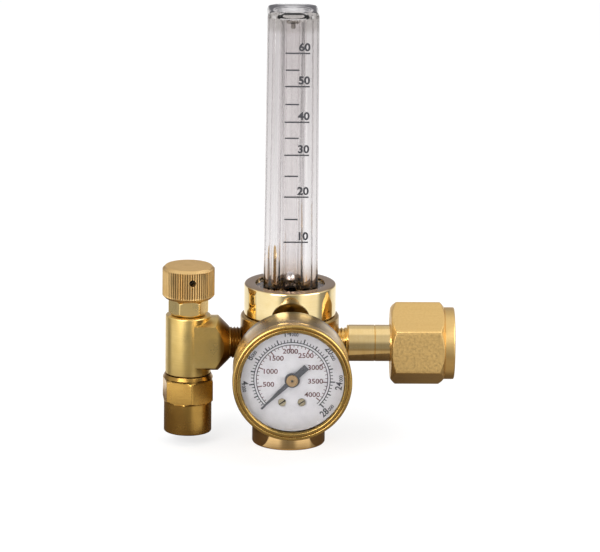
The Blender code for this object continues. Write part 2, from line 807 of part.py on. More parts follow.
def make_nipple(materials, inlet):
    thread = PORT_THREAD / 2
    bar = NIPPLE_DIAMETER / 2
    head = HEAD_DIAMETER / 2
    passage = PASSAGE / 2
    pocket = FILTER_DIAMETER / 2 + FIT
    pocket_floor = HEAD_END - FILTER_SINK - FILTER_LENGTH - FIT
    outline = [
        (passage, NIPPLE_START),
        (thread, NIPPLE_START),
        (thread, BAR_START),
        (bar - CHAMFER, BAR_START),
        (bar, BAR_START + CHAMFER),
        (bar, BAR_END),
        (head, BAR_END),
        (head, HEAD_END - CHAMFER),
        (head - CHAMFER, HEAD_END),
        (pocket, HEAD_END),
        (pocket, pocket_floor),
        (passage, pocket_floor),
    ]
    piece("inlet_nipple", lathe(outline, MEDIUM), materials["bright_brass"], inlet)


def make_filter(materials, inlet):
    radius = FILTER_DIAMETER / 2
    end = HEAD_END - FILTER_SINK
    start = end - FILTER_LENGTH
    bore = FILTER_BORE / 2
    outline = [
        (bore, start),
        (radius, start),
        (radius, end - CHAMFER),
        (radius - CHAMFER, end),
        (0.0, end),
    ]
    cup = list(reversed(outline)) + [(bore, end - FILTER_LENGTH / 3), (0.0, end - FILTER_LENGTH / 3)]
    piece("inlet_filter", lathe(cup, SMALL), materials["sintered_bronze"], inlet)


def make_washer(materials, inlet):
    start = HEAD_END + FIT
    outline = [
        (WASHER_INNER / 2, start),
        (WASHER_OUTER / 2, start),
        (WASHER_OUTER / 2, start + WASHER_THICKNESS),
        (WASHER_INNER / 2, start + WASHER_THICKNESS),
    ]
    piece("inlet_washer", lathe(outline, MEDIUM), materials["nylon"], inlet)


def make_inlet_nut(materials, inlet):
    hex_end = NUT_START + NUT_HEX_LENGTH
    corner = NUT_FLATS / math.sqrt(3.0)
    flat = NUT_FLATS / 2
    ring = NUT_RING / 2
    slope = NUT_CORNER_CUT / (corner - flat)
    hex_body = prism(hexagon(NUT_FLATS), NUT_START - OVERCUT, hex_end + OVERCUT)
    nut = piece("inlet_nut", hex_body, materials["nut_brass"], inlet)
    inset = flat - CHAMFER
    envelope = [
        (0.0, NUT_START),
        (inset, NUT_START),
        (corner + CHAMFER, NUT_START + (corner + CHAMFER - inset) * slope),
        (corner + CHAMFER, hex_end - (corner + CHAMFER - inset) * slope),
        (inset, hex_end),
        (0.0, hex_end),
    ]
    shape(nut, "INTERSECT", "chamfers", lathe(envelope, LARGE), inlet)
    shoulder = [
        (0.0, hex_end - OVERCUT),
        (ring, hex_end - OVERCUT),
        (ring, NUT_END - CHAMFER),
        (ring - CHAMFER, NUT_END),
        (0.0, NUT_END),
    ]
    shape(nut, "UNION", "shoulder", lathe(shoulder, LARGE), inlet)
    mouth_slope = (NUT_MOUTH - NUT_THREAD) / 2
    bore = [
        (0.0, NUT_START - OVERCUT),
        (NIPPLE_DIAMETER / 2 + FIT, NUT_START - OVERCUT),
        (NIPPLE_DIAMETER / 2 + FIT, NUT_START + NUT_BACK),
        (NUT_THREAD / 2, NUT_START + NUT_BACK),
        (NUT_THREAD / 2, NUT_END - mouth_slope),
        (NUT_MOUTH / 2 + OVERCUT, NUT_END + OVERCUT),
        (0.0, NUT_END + OVERCUT),
    ]
    shape(nut, "DIFFERENCE", "bore", lathe(bore, LARGE), inlet)


# Flow valve


def make_valve_body(materials, valve, outlet):
    radius = VALVE_DIAMETER / 2
    outline = [
        (0.0, VALVE_BOTTOM - VALVE_SPIGOT_LENGTH),
        (VALVE_SPIGOT / 2, VALVE_BOTTOM - VALVE_SPIGOT_LENGTH),
        (VALVE_SPIGOT / 2, VALVE_BOTTOM),
        (radius - CHAMFER, VALVE_BOTTOM),
        (radius, VALVE_BOTTOM + CHAMFER),
        (radius, VALVE_TOP - CHAMFER),
        (radius - CHAMFER, VALVE_TOP),
        (0.0, VALVE_TOP),
    ]
    body = piece("valve_body", lathe(outline, MEDIUM), materials["valve_brass"], valve)
    boss_tip = VALVE_OFFSET - BOSS_END
    shape(body, "UNION", "boss", boss_mesh(boss_tip), outlet)
    thread = PORT_THREAD / 2
    thread_start = VALVE_OFFSET - VALVE_THREAD_END
    neck = [
        (0.0, thread_start),
        (thread - CHAMFER, thread_start),
        (thread, thread_start + CHAMFER),
        (thread, boss_tip + thread),
        (0.0, boss_tip + thread),
    ]
    shape(body, "UNION", "thread", lathe(neck, SMALL), outlet)
    side = rod(VALVE_PASSAGE / 2, thread_start - OVERCUT, VALVE_OFFSET, TINY)
    shape(body, "DIFFERENCE", "side_passage", side, outlet)
    shape(body, "DIFFERENCE", "bore", lathe(valve_bore(), SMALL), valve)


def boss_outline():
    """(height, side) pairs round the boss: flat front and back, crowned top and bottom."""
    flat = BOSS_FLAT / 2
    crown = BOSS_CROWN / 2
    reach = math.asin(flat / BOSS_CROWN_RADIUS)
    edge = crown - BOSS_CROWN_RADIUS * (1.0 - math.cos(reach))
    half = []
    for i in range(7):
        angle = reach * (i / 3 - 1.0)
        height = crown - BOSS_CROWN_RADIUS * (1.0 - math.cos(angle))
        half.append((height, BOSS_CROWN_RADIUS * math.sin(angle)))
    half += [(edge * (1.0 - i / 3), flat) for i in range(1, 6)]
    return half + [(-height, -side) for height, side in half]


def boss_mesh(tip):
    """Side boss from its coned end to the valve's axis."""
    root = PORT_THREAD / 2 + FIT
    slope = 1.0 / math.tan(math.radians(BOSS_CONE_ANGLE))
    nose, shoulder, end = [], [], []
    for height, side in boss_outline():
        radius = math.hypot(height, side)
        nose.append((height * root / radius, side * root / radius, tip))
        shoulder.append((height, side, tip + (radius - root) * slope))
        end.append((height, side, VALVE_OFFSET))
    return loft([nose, shoulder, end])


def valve_bore():
    """Bore from the top through the orifice to the spigot, as one turned cutter."""
    seat = PORT_HEIGHT - ORIFICE_DROP
    orifice_end = seat - ORIFICE_LENGTH
    bottom = VALVE_BOTTOM - VALVE_SPIGOT_LENGTH - OVERCUT
    return [
        (0.0, bottom),
        (VALVE_PASSAGE / 2, bottom),
        (VALVE_PASSAGE / 2, orifice_end),
        (ORIFICE / 2, orifice_end),
        (ORIFICE / 2, seat),
        (STEM_BORE / 2, seat),
        (STEM_BORE / 2, PACKING_FLOOR),
        (PACKING_BORE / 2, PACKING_FLOOR),
        (PACKING_BORE / 2, VALVE_TOP + OVERCUT),
        (0.0, VALVE_TOP + OVERCUT),
    ]


def make_valve_stem(materials, valve):
    stem = VALVE_STEM / 2
    thread_bottom = VALVE_TOP - STEM_THREAD_DROP
    needle = NEEDLE / 2
    tip = NEEDLE_TIP / 2
    entering = (ORIFICE / 2 - FIT - tip) / (needle - tip)
    needle_end = PORT_HEIGHT - ORIFICE_DROP - entering * NEEDLE_LENGTH
    outline = [
        (0.0, needle_end),
        (tip, needle_end),
        (needle, needle_end + NEEDLE_LENGTH),
        (needle, thread_bottom),
        (STEM_BORE / 2 - FIT, thread_bottom),
        (STEM_BORE / 2 - FIT, thread_bottom + STEM_THREAD_LENGTH),
        (stem, thread_bottom + STEM_THREAD_LENGTH),
        (stem, KNOB_BOTTOM + KNOB_BORE_DEPTH - FIT),
        (0.0, KNOB_BOTTOM + KNOB_BORE_DEPTH - FIT),
    ]
    piece("valve_stem", lathe(outline, SMALL), materials["bright_brass"], valve)


def make_packing(materials, valve):
    inner = VALVE_STEM / 2 + FIT
    outer = PACKING_BORE / 2 - FIT
    bottom = PACKING_FLOOR + FIT
    packing_top = bottom + PACKING_HEIGHT
    gland_bottom = packing_top + FIT
    gland_top = gland_bottom + GLAND_HEIGHT
    for name, low, high, material in (
        ("stem_packing", bottom, packing_top, materials["nylon"]),
        ("gland_ring", gland_bottom, gland_top, materials["bright_brass"]),
    ):
        outline = [(inner, low), (outer, low), (outer, high), (inner, high)]
        piece(name, lathe(outline, SMALL), material, valve)
    return gland_top


def make_packing_nut(materials, valve, gland_top):
    corner = PACKING_NUT_FLATS / math.sqrt(3.0)
    flat = PACKING_NUT_FLATS / 2
    rise = PACKING_NUT_CUT
    ends = (PACKING_NUT_BOTTOM - OVERCUT, PACKING_NUT_TOP + OVERCUT)
    hex_body = prism(hexagon(PACKING_NUT_FLATS), *ends)
    material = materials["valve_brass"]
    nut = piece("packing_nut", hex_body, material, valve, turn=PACKING_NUT_TURN)
    envelope = [
        (0.0, PACKING_NUT_BOTTOM),
        (flat - FIT, PACKING_NUT_BOTTOM),
        (corner + FIT, PACKING_NUT_BOTTOM + rise),
        (corner + FIT, PACKING_NUT_TOP - rise),
        (flat - FIT, PACKING_NUT_TOP),
        (0.0, PACKING_NUT_TOP),
    ]
    shape(nut, "INTERSECT", "chamfers", lathe(envelope, MEDIUM), valve)
    spigot = rod(PACKING_BORE / 2 - FIT, gland_top + FIT, PACKING_NUT_BOTTOM + OVERCUT, SMALL)
    shape(nut, "UNION", "spigot", spigot, valve)
    hole = rod(VALVE_STEM / 2 + FIT, gland_top - OVERCUT, PACKING_NUT_TOP + OVERCUT, SMALL)
    shape(nut, "DIFFERENCE", "stem_hole", hole, valve)


def knurled_mesh():
    """Knob with a shallow vee between each two ridges and a bevel that cuts their ends."""
    outer = KNOB_DIAMETER / 2
    edge = outer - KNOB_BEVEL
    rings = [[], [], [], []]
    for i in range(2 * KNOB_RIDGES):
        angle = math.pi * i / KNOB_RIDGES
        radius = outer - KNOB_RIDGE_DEPTH * (i % 2)
        bevel = radius - edge
        levels = (
            (edge, KNOB_BOTTOM),
            (radius, KNOB_BOTTOM + bevel),
            (radius, KNOB_TOP - bevel),
            (edge, KNOB_TOP),
        )
        for ring, (reach, height) in zip(rings, levels):
            ring.append((reach * math.cos(angle), reach * math.sin(angle), height))
    return loft(rings)


def make_knob(materials, valve):
    outer = KNOB_DIAMETER / 2
    knob = piece("valve_knob", knurled_mesh(), materials["knob_brass"], valve)
    hole_radius = VALVE_STEM / 2 + FIT
    hole = rod(hole_radius, KNOB_BOTTOM - OVERCUT, KNOB_BOTTOM + KNOB_BORE_DEPTH, SMALL)
    shape(knob, "DIFFERENCE", "stem_hole", hole, valve)
    height = KNOB_BOTTOM + KNOB_SCREW_HEIGHT
    side = frame("knob_screw_axis", (-VALVE_OFFSET, 0.0, height), (90.0, 0.0, KNOB_SCREW_TURN))
    tapped = rod(KNOB_SCREW / 2 + FIT, 0.0, outer + OVERCUT, TINY)
    shape(knob, "DIFFERENCE", "screw_hole", tapped, side)
    start = hole_radius
    screw = rod(KNOB_SCREW / 2, start, start + KNOB_SCREW_LENGTH, TINY)
    grub = piece("knob_set_screw", screw, materials["dark_steel"], side)
    key = prism(
        hexagon(KNOB_SCREW / 2),
        start + KNOB_SCREW_LENGTH - KNOB_SCREW / 2,
        start + KNOB_SCREW_LENGTH + OVERCUT,
    )
    shape(grub, "DIFFERENCE", "key", key, side)


def make_connector(materials, valve):
    hex_top = CONNECTOR_TOP - CONNECTOR_NECK
    hex_bottom = CONNECTOR_BOTTOM + CONNECTOR_SLEEVE_LENGTH
    corner = CONNECTOR_FLATS / math.sqrt(3.0)
    neck = CONNECTOR_NECK_DIAMETER / 2
    sleeve = CONNECTOR_SLEEVE / 2
    ends = (hex_bottom - OVERCUT, hex_top + OVERCUT)
    hex_body = prism(hexagon(CONNECTOR_FLATS), *ends)
    material = materials["outlet_brass"]
    connector = piece("outlet_connector", hex_body, material, valve, turn=CONNECTOR_TURN - 90.0)
    cut = corner - neck
    envelope = [
        (0.0, hex_bottom),
        (neck, hex_bottom),
        (corner + FIT, hex_bottom + cut + FIT),
        (corner + FIT, hex_top - cut - FIT),
        (neck, hex_top),
        (0.0, hex_top),
    ]
    shape(connector, "INTERSECT", "chamfers", lathe(envelope, MEDIUM), valve)
    turned = [
        (0.0, CONNECTOR_BOTTOM),
        (sleeve - CHAMFER, CONNECTOR_BOTTOM),
        (sleeve, CONNECTOR_BOTTOM + CHAMFER),
        (sleeve, hex_bottom + OVERCUT),
        (sleeve - CHAMFER, hex_top - OVERCUT),
        (neck, hex_top - FIT),
        (neck, hex_top + CONNECTOR_NECK / 3),
        (VALVE_DIAMETER / 2 + FIT, CONNECTOR_TOP),
        (0.0, CONNECTOR_TOP),
    ]
    shape(connector, "UNION", "turned", lathe(turned, MEDIUM), valve)
    seat = CONNECTOR_BOTTOM + OUTLET_DEPTH
    cone = (OUTLET_THREAD - VALVE_PASSAGE) / 2
    mouth = (OUTLET_MOUTH - OUTLET_THREAD) / 2
    spigot_floor = VALVE_BOTTOM - VALVE_SPIGOT_LENGTH - FIT
    bore = [
        (0.0, CONNECTOR_BOTTOM - OVERCUT),
        (OUTLET_MOUTH / 2 + OVERCUT, CONNECTOR_BOTTOM - OVERCUT),
        (OUTLET_THREAD / 2, CONNECTOR_BOTTOM + mouth),
        (OUTLET_THREAD / 2, seat - cone),
        (VALVE_PASSAGE / 2, seat),
        (VALVE_PASSAGE / 2, spigot_floor),
        (VALVE_SPIGOT / 2 + FIT, spigot_floor),
        (VALVE_SPIGOT / 2 + FIT, CONNECTOR_TOP + OVERCUT),
        (0.0, CONNECTOR_TOP + OVERCUT),
    ]
    shape(connector, "DIFFERENCE", "bore", lathe(bore, MEDIUM), valve)


# Gauge


def make_gauge_socket(materials, gauge):
    thread = PORT_THREAD / 2
    start = BODY_FRONT - GAUGE_SOCKET_DEPTH + FIT
    hex_front = CASE_BACK - FIT
    hex_back = hex_front - SOCKET_HEX_LENGTH
    turned = [
        (0.0, start),
        (thread - CHAMFER, start),
        (thread, start + CHAMFER),
        (thread, hex_back + FIT),
        (SOCKET_NECK / 2, hex_back + FIT),
        (SOCKET_NECK / 2, ARM_FRONT - FIT),
        (0.0, ARM_FRONT - FIT),
    ]
    socket = piece("gauge_socket", lathe(turned, SMALL), materials["bright_brass"], gauge)
    hex_body = prism(hexagon(SOCKET_HEX_FLATS), hex_back, hex_front)
    shape(socket, "UNION", "hexagon", hex_body, gauge)
    half = ARM_WIDTH / 2
    arm_end = BOURDON_RADIUS + BOURDON_THICKNESS
    arm = box((-half, half), (-arm_end, half), (ARM_BACK, ARM_FRONT))
    shape(socket, "UNION", "arm", arm, gauge)
    root_front = PLATE_BACK + BOURDON_RISE + BOURDON_WIDTH / 2
    root_side = root_edge()
    root_top = BOURDON_RADIUS - BOURDON_THICKNESS
    root = box((-half, root_side), (-arm_end, -root_top), (ARM_BACK + FIT, root_front))
    shape(socket, "UNION", "root", root, gauge)
    for name, side in (("post_left", -1), ("post_right", 1)):
        place = (side * POST_SPACING / 2, -POST_DROP)
        post = rod(POST_DIAMETER / 2, ARM_BACK + FIT, DIAL_BACK - FIT, TINY, place)
        shape(socket, "UNION", name, post, gauge)
        tapped = rod(
            DIAL_SCREW_SHANK / 2 + FINE_FIT,
            DIAL_FRONT - DIAL_SCREW_LENGTH - FIT,
            DIAL_FRONT,
            TINY,
            place,
        )
        shape(socket, "DIFFERENCE", f"{name}_hole", tapped, gauge)
    pressure_way = rod(NOZZLE_BORE / 2, start - OVERCUT, ARM_BACK, TINY)
    shape(socket, "DIFFERENCE", "pressure_way", pressure_way, gauge)


def root_edge():
    """Right side of the root block, one fine clearance short of the Bourdon tube's end."""
    angle = math.radians(BOURDON_START)
    inner = BOURDON_RADIUS - BOURDON_THICKNESS
    return inner * math.cos(angle) - FINE_FIT


def rounded_strip(thickness, width):
    """Section of a flattened tube: (radius, height) pairs with its corners cut."""
    half, side = thickness / 2, width / 2
    cut = thickness / 4
    corner = [(half, side - cut), (half - cut, side)]
    left = [(-r, h) for r, h in reversed(corner)]
    return corner + left + [(-r, -h) for r, h in corner] + [(r, -h) for r, h in reversed(corner)]


def make_bourdon_tube(materials, gauge):
    level = PLATE_BACK + BOURDON_RISE
    tube = coil(
        rounded_strip(BOURDON_THICKNESS, BOURDON_WIDTH),
        24,
        (BOURDON_START, BOURDON_END),
        (BOURDON_RADIUS, BOURDON_RADIUS),
        (level, level),
    )
    piece("bourdon_tube", tube, materials["bronze"], gauge)


def on_circle(radius, degrees, centre=(0.0, 0.0)):
    angle = math.radians(degrees)
    return (centre[0] + radius * math.cos(angle), centre[1] + radius * math.sin(angle))


def sector_pivot():
    return on_circle(SECTOR_DISTANCE, SECTOR_PLACE)


def pillar_places():
    """One pillar past the hairspring and one past the sector's hub."""
    near = on_circle(HAIRSPRING_OUTER + PILLAR, SECTOR_PLACE + 190.0)
    far = on_circle(SECTOR_HUB, SECTOR_PLACE - 45.0, sector_pivot())
    return [near, far]


def plate_outline():
    """Movement plate: one convex outline round the arbor, the sector pin and both pillars."""
    points = circle(0.0030, TINY) + circle(0.0016, TINY, sector_pivot())
    for place in pillar_places():
        points += circle(PILLAR * 0.8, TINY, place)
    return convex_outline([(round(x, 7), round(y, 7)) for x, y in points])


def make_movement_frame(materials, gauge):
    outline = plate_outline()
    back = prism(outline, PLATE_BACK, PLATE_BACK + PLATE_THICKNESS)
    plates = piece("movement_frame", back, materials["movement_brass"], gauge)
    front = prism(outline, PLATE_FRONT, PLATE_FRONT + PLATE_THICKNESS)
    shape(plates, "UNION", "front_plate", front, gauge)
    inside = PLATE_THICKNESS / 2
    for number, place in enumerate(pillar_places(), 1):
        pillar = rod(PILLAR / 2, PLATE_BACK + inside, PLATE_FRONT + inside, TINY, place)
        shape(plates, "UNION", f"pillar_{number}", pillar, gauge)
    through = (PLATE_BACK - OVERCUT, PLATE_FRONT + PLATE_THICKNESS + OVERCUT)
    hole = ARBOR / 2 + FINE_FIT
    shape(plates, "DIFFERENCE", "arbor_hole", rod(hole, *through, TINY), gauge)
    pivot_hole = rod(hole, *through, TINY, sector_pivot())
    shape(plates, "DIFFERENCE", "pivot_hole", pivot_hole, gauge)


def tooth_profile(teeth, inward):
    """Root, flank and tip radii with half angles of one tooth, in degrees."""
    pitch = teeth * TOOTH_MODULE / 2
    step = 360.0 / teeth
    root = pitch - TOOTH_MODULE * inward
    tip = pitch + TOOTH_MODULE * 0.8
    return [(root, -0.27 * step), (tip, -0.12 * step), (tip, 0.12 * step), (root, 0.27 * step)]


def make_pinion_arbor(materials, gauge):
    bottom = PLATE_BACK - FINE_FIT / 2
    top = POINTER_FRONT + HUB_HEIGHT / 2
    shaft = rod(ARBOR / 2, bottom, top, TINY)
    arbor = piece("pinion_arbor", shaft, materials["steel"], gauge)
    outline = []
    for i in range(PINION_TEETH):
        for radius, turn in tooth_profile(PINION_TEETH, 1.2):
            outline.append(on_circle(radius, 360.0 * i / PINION_TEETH + turn))
    level = sector_level()
    low = level - (PINION_LENGTH - SECTOR_THICKNESS) / 2
    shape(arbor, "UNION", "pinion", prism(outline, low, low + PINION_LENGTH), gauge, turn=mesh_turn())


def mesh_turn():
    """Turn of the pinion that puts a gap between its teeth towards the sector."""
    step = 360.0 / PINION_TEETH
    return SECTOR_PLACE - step / 2


def sector_level():
    return PLATE_BACK + PLATE_THICKNESS + PLATE_SPACING / 2


def make_sector_gear(materials, gauge):
    pivot = sector_pivot()
    facing = SECTOR_PLACE + 180.0
    ratio = PINION_TEETH / SECTOR_TEETH
    step = 360.0 / SECTOR_TEETH
    before = round(SECTOR_MARGIN / step)
    after = round((POINTER_SWEEP * ratio + SECTOR_MARGIN) / step)
    outline = []
    for i in range(-after, before + 1):
        for radius, turn in tooth_profile(SECTOR_TEETH, 1.2):
            outline.append(on_circle(radius, facing + i * step + turn))
    hub = SECTOR_HUB / 2
    outline.append(on_circle(hub, facing + 90.0))
    tail = on_circle(TAIL_LENGTH, TAIL_ANGLE)
    for turn in (-60.0, -20.0, 20.0, 60.0):
        outline.append(on_circle(LINK_WIDTH / 2, TAIL_ANGLE + turn, tail))
    outline.append(on_circle(hub, facing - 90.0 - POINTER_SWEEP * ratio / 2))
    level = sector_level()
    low = level - SECTOR_THICKNESS / 2
    gear = prism(outline, low, low + SECTOR_THICKNESS)
    sector = piece("sector_gear", gear, materials["movement_brass"], gauge, (*pivot, 0.0))
    hole = rod(ARBOR / 2 + FINE_FIT, low - OVERCUT, low + SECTOR_THICKNESS + OVERCUT, TINY)
    shape(sector, "DIFFERENCE", "pin_hole", hole, gauge, (*pivot, 0.0))
    pin_top = PLATE_FRONT + PLATE_THICKNESS + FINE_FIT
    pin = rod(ARBOR / 2, PLATE_BACK - FINE_FIT / 2, pin_top, TINY)
    piece("sector_pin", pin, materials["steel"], gauge, (*pivot, 0.0))


def make_link(materials, gauge):
    """Strip from the sector's tail to just inside the Bourdon tube's end."""
    tail = on_circle(TAIL_LENGTH, TAIL_ANGLE, sector_pivot())
    inside = BOURDON_RADIUS - BOURDON_THICKNESS / 2 - LINK_WIDTH / 2 - FINE_FIT
    tip = on_circle(inside, BOURDON_END)
    reach = (tip[0] - tail[0], tip[1] - tail[1])
    half = LINK_WIDTH / 2
    outline = convex_outline(circle(half, TINY) + circle(half, TINY, reach))
    high = sector_level() - SECTOR_THICKNESS / 2 - FINE_FIT
    strip = prism(outline, high - LINK_THICKNESS, high)
    piece("gauge_link", strip, materials["steel"], gauge, (*tail, 0.0))


def make_hairspring(materials, gauge):
    strip, width = HAIRSPRING_STRIP / 2, HAIRSPRING_WIDTH / 2
    section = [(strip, -width), (strip, width), (-strip, width), (-strip, -width)]
    level = PLATE_BACK + PLATE_THICKNESS + FINE_FIT + width
    spiral = coil(
        section,
        round(12 * HAIRSPRING_TURNS),
        (0.0, 360.0 * HAIRSPRING_TURNS),
        (HAIRSPRING_INNER, HAIRSPRING_OUTER),
        (level, level),
    )
    piece("hairspring", spiral, materials["bronze"], gauge, turn=-30.0)


def make_case(materials, gauge):
    outer = CASE_DIAMETER / 2
    hole = SOCKET_NECK / 2 + FIT
    step = BEZEL_BACK - FIT
    outline = [
        (hole, CASE_BACK),
        (outer - CASE_EDGE, CASE_BACK),
        (outer, CASE_BACK + CASE_EDGE),
        (outer, step),
        (CASE_RIM, step),
        (CASE_RIM, CASE_FRONT),
        (CASE_BORE, CASE_FRONT),
        (CASE_BORE, CASE_FLOOR),
        (hole, CASE_FLOOR),
    ]
    piece("gauge_case", lathe(outline, LARGE), materials["case_brass"], gauge)


def make_bezel(materials, gauge):
    bore = CASE_RIM + FIT
    lip = BEZEL_FRONT - BEZEL_LIP
    roll = BEZEL_RADIUS - bore
    outline = [
        (bore, BEZEL_BACK),
        (BEZEL_RADIUS - CHAMFER, BEZEL_BACK),
        (BEZEL_RADIUS, BEZEL_BACK + CHAMFER),
        (BEZEL_RADIUS, BEZEL_FRONT - 1.5 * roll),
        (BEZEL_RADIUS - roll, BEZEL_FRONT),
        (WINDOW_RADIUS + roll, BEZEL_FRONT),
        (WINDOW_RADIUS, lip),
        (bore, lip),
    ]
    piece("gauge_bezel", lathe(outline, LARGE), materials["bezel_brass"], gauge)
    lens = rod(bore - FIT, LENS_BACK, LENS_FRONT, LARGE)
    piece("gauge_lens", lens, materials["clear_lens"], gauge)
    gasket_inner = CASE_RIM - GASKET_WIDTH
    gasket_front = LENS_BACK - FIT
    gasket = [
        (gasket_inner, GASKET_BACK),
        (CASE_RIM, GASKET_BACK),
        (CASE_RIM, gasket_front),
        (gasket_inner, gasket_front),
    ]
    piece("lens_gasket", lathe(gasket, MEDIUM), materials["rubber"], gauge)


def make_dial(materials, gauge):
    disc = rod(DIAL_RADIUS, DIAL_BACK, DIAL_FRONT, LARGE)
    dial = piece("gauge_dial", disc, materials["dial_white"], gauge)
    through = (DIAL_BACK - OVERCUT, DIAL_FRONT + OVERCUT)
    shape(dial, "DIFFERENCE", "arbor_hole", rod(ARBOR, *through, TINY), gauge)
    screw_hole = DIAL_SCREW_SHANK / 2 + FINE_FIT
    for name, side in (("left", -1), ("right", 1)):
        place = (side * POST_SPACING / 2, -POST_DROP)
        shape(dial, "DIFFERENCE", f"{name}_hole", rod(screw_hole, *through, TINY, place), gauge)
        make_dial_screw(materials, gauge, f"dial_screw_{name}", place)


def make_dial_screw(materials, gauge, name, place):
    shank = DIAL_SCREW_SHANK / 2
    head = DIAL_SCREW_HEAD / 2
    head_back = DIAL_FRONT + FINE_FIT
    head_front = head_back + DIAL_SCREW_HEAD_HEIGHT
    outline = [
        (0.0, DIAL_FRONT - DIAL_SCREW_LENGTH),
        (shank, DIAL_FRONT - DIAL_SCREW_LENGTH),
        (shank, head_back),
        (head, head_back),
        (head, head_front - FINE_FIT),
        (head - FINE_FIT, head_front),
        (0.0, head_front),
    ]
    screw = piece(name, lathe(outline, TINY), materials["bright_brass"], gauge, (*place, 0.0))
    slot_half = FINE_FIT
    depth = head_front - DIAL_SCREW_HEAD_HEIGHT / 2
    slot = box((-head - FIT, head + FIT), (-slot_half, slot_half), (depth, head_front + FIT))
    shape(screw, "DIFFERENCE", "slot", slot, gauge, (*place, 0.0), turn=35.0)


def pointer_outline():
    """Slender pointer along +X with a broad tail and a disc round the arbor."""
    disc = POINTER_DISC / 2
    neck = 0.0010
    tip = 0.00025
    tail_half = POINTER_TAIL_WIDTH / 2
    tail_start = math.sqrt(disc**2 - tail_half**2)
    neck_start = math.sqrt(disc**2 - neck**2)
    neck_turn = math.degrees(math.atan2(neck, neck_start))
    tail_turn = math.degrees(math.atan2(tail_half, tail_start))
    outline = [(POINTER_REACH, -tip), (POINTER_REACH, tip), (neck_start, neck)]
    sweep = 180.0 - neck_turn - tail_turn
    outline += [on_circle(disc, neck_turn + sweep * i / 8) for i in range(1, 8)]
    outline += [(-tail_start, tail_half), (-POINTER_TAIL, tail_half)]
    outline += [(-POINTER_TAIL, -tail_half), (-tail_start, -tail_half)]
    outline += [on_circle(disc, 180.0 + tail_turn + sweep * i / 8) for i in range(1, 8)]
    outline.append((neck_start, -neck))
    return outline


def make_pointer(materials, gauge):
    blade = prism(pointer_outline(), POINTER_BACK, POINTER_FRONT)
    pointer = piece("pointer", blade, materials["pointer_black"], gauge, turn=POINTER_REST)
    sleeve = HUB_SLEEVE / 2
    hole = rod(sleeve + FINE_FIT, POINTER_BACK - OVERCUT, POINTER_FRONT + OVERCUT, TINY)
    shape(pointer, "DIFFERENCE", "hub_hole", hole, gauge)
    cap_back = POINTER_FRONT + FINE_FIT
    cap_front = cap_back + HUB_HEIGHT
    bore = ARBOR / 2 + FINE_FIT
    bore_end = cap_front - HUB_HEIGHT / 3
    outline = [
        (bore, POINTER_BACK - FINE_FIT),
        (sleeve, POINTER_BACK - FINE_FIT),
        (sleeve, cap_back),
        (HUB_DIAMETER / 2, cap_back),
        (HUB_DIAMETER / 2, cap_front - FINE_FIT),
        (HUB_DIAMETER / 2 - FINE_FIT, cap_front),
        (0.0, cap_front),
    ]
    hub = list(reversed(outline)) + [(bore, bore_end), (0.0, bore_end)]
    piece("pointer_hub", lathe(hub, SMALL), materials["bright_brass"], gauge)


# Whole regulator


def make_materials():
    brass = {
        "body_brass": ((0.52, 0.36, 0.13), 0.32),
        "base_brass": ((0.44, 0.28, 0.14), 0.36),
        "mirror_brass": ((0.72, 0.55, 0.22), 0.10),
        "bright_brass": ((0.66, 0.48, 0.18), 0.22),
        "nut_brass": ((0.60, 0.42, 0.15), 0.38),
        "valve_brass": ((0.53, 0.40, 0.15), 0.34),
        "outlet_brass": ((0.53, 0.32, 0.07), 0.32),
        "knob_brass": ((0.52, 0.33, 0.13), 0.40),
        "case_brass": ((0.50, 0.38, 0.22), 0.34),
        "bezel_brass": ((0.42, 0.26, 0.08), 0.28),
        "movement_brass": ((0.60, 0.45, 0.18), 0.30),
        "bronze": ((0.45, 0.27, 0.14), 0.35),
        "sintered_bronze": ((0.36, 0.24, 0.14), 0.80),
        "chrome": ((0.80, 0.80, 0.82), 0.06),
        "steel": ((0.55, 0.55, 0.56), 0.30),
        "dark_steel": ((0.06, 0.06, 0.06), 0.45),
    }
    materials = {name: finish(name, *values) for name, values in brass.items()}
    materials["rubber"] = finish("rubber", (0.02, 0.02, 0.02), 0.60, 0.0)
    materials["nylon"] = finish("nylon", (0.80, 0.78, 0.70), 0.45, 0.0)
    materials["white_plastic"] = finish("white_plastic", (0.75, 0.75, 0.75), 0.40, 0.0)
    materials["dial_white"] = finish("dial_white", (0.76, 0.78, 0.82), 0.50, 0.0)
    materials["pointer_black"] = finish("pointer_black", (0.05, 0.05, 0.06), 0.50, 0.0)
    materials["clear_plastic"] = finish("clear_plastic", (0.90, 0.87, 0.87), 0.08, 0.0, 0.35)
    materials["clear_lens"] = finish("clear_lens", (0.95, 0.96, 0.98), 0.05, 0.0, 0.20)
    return materials


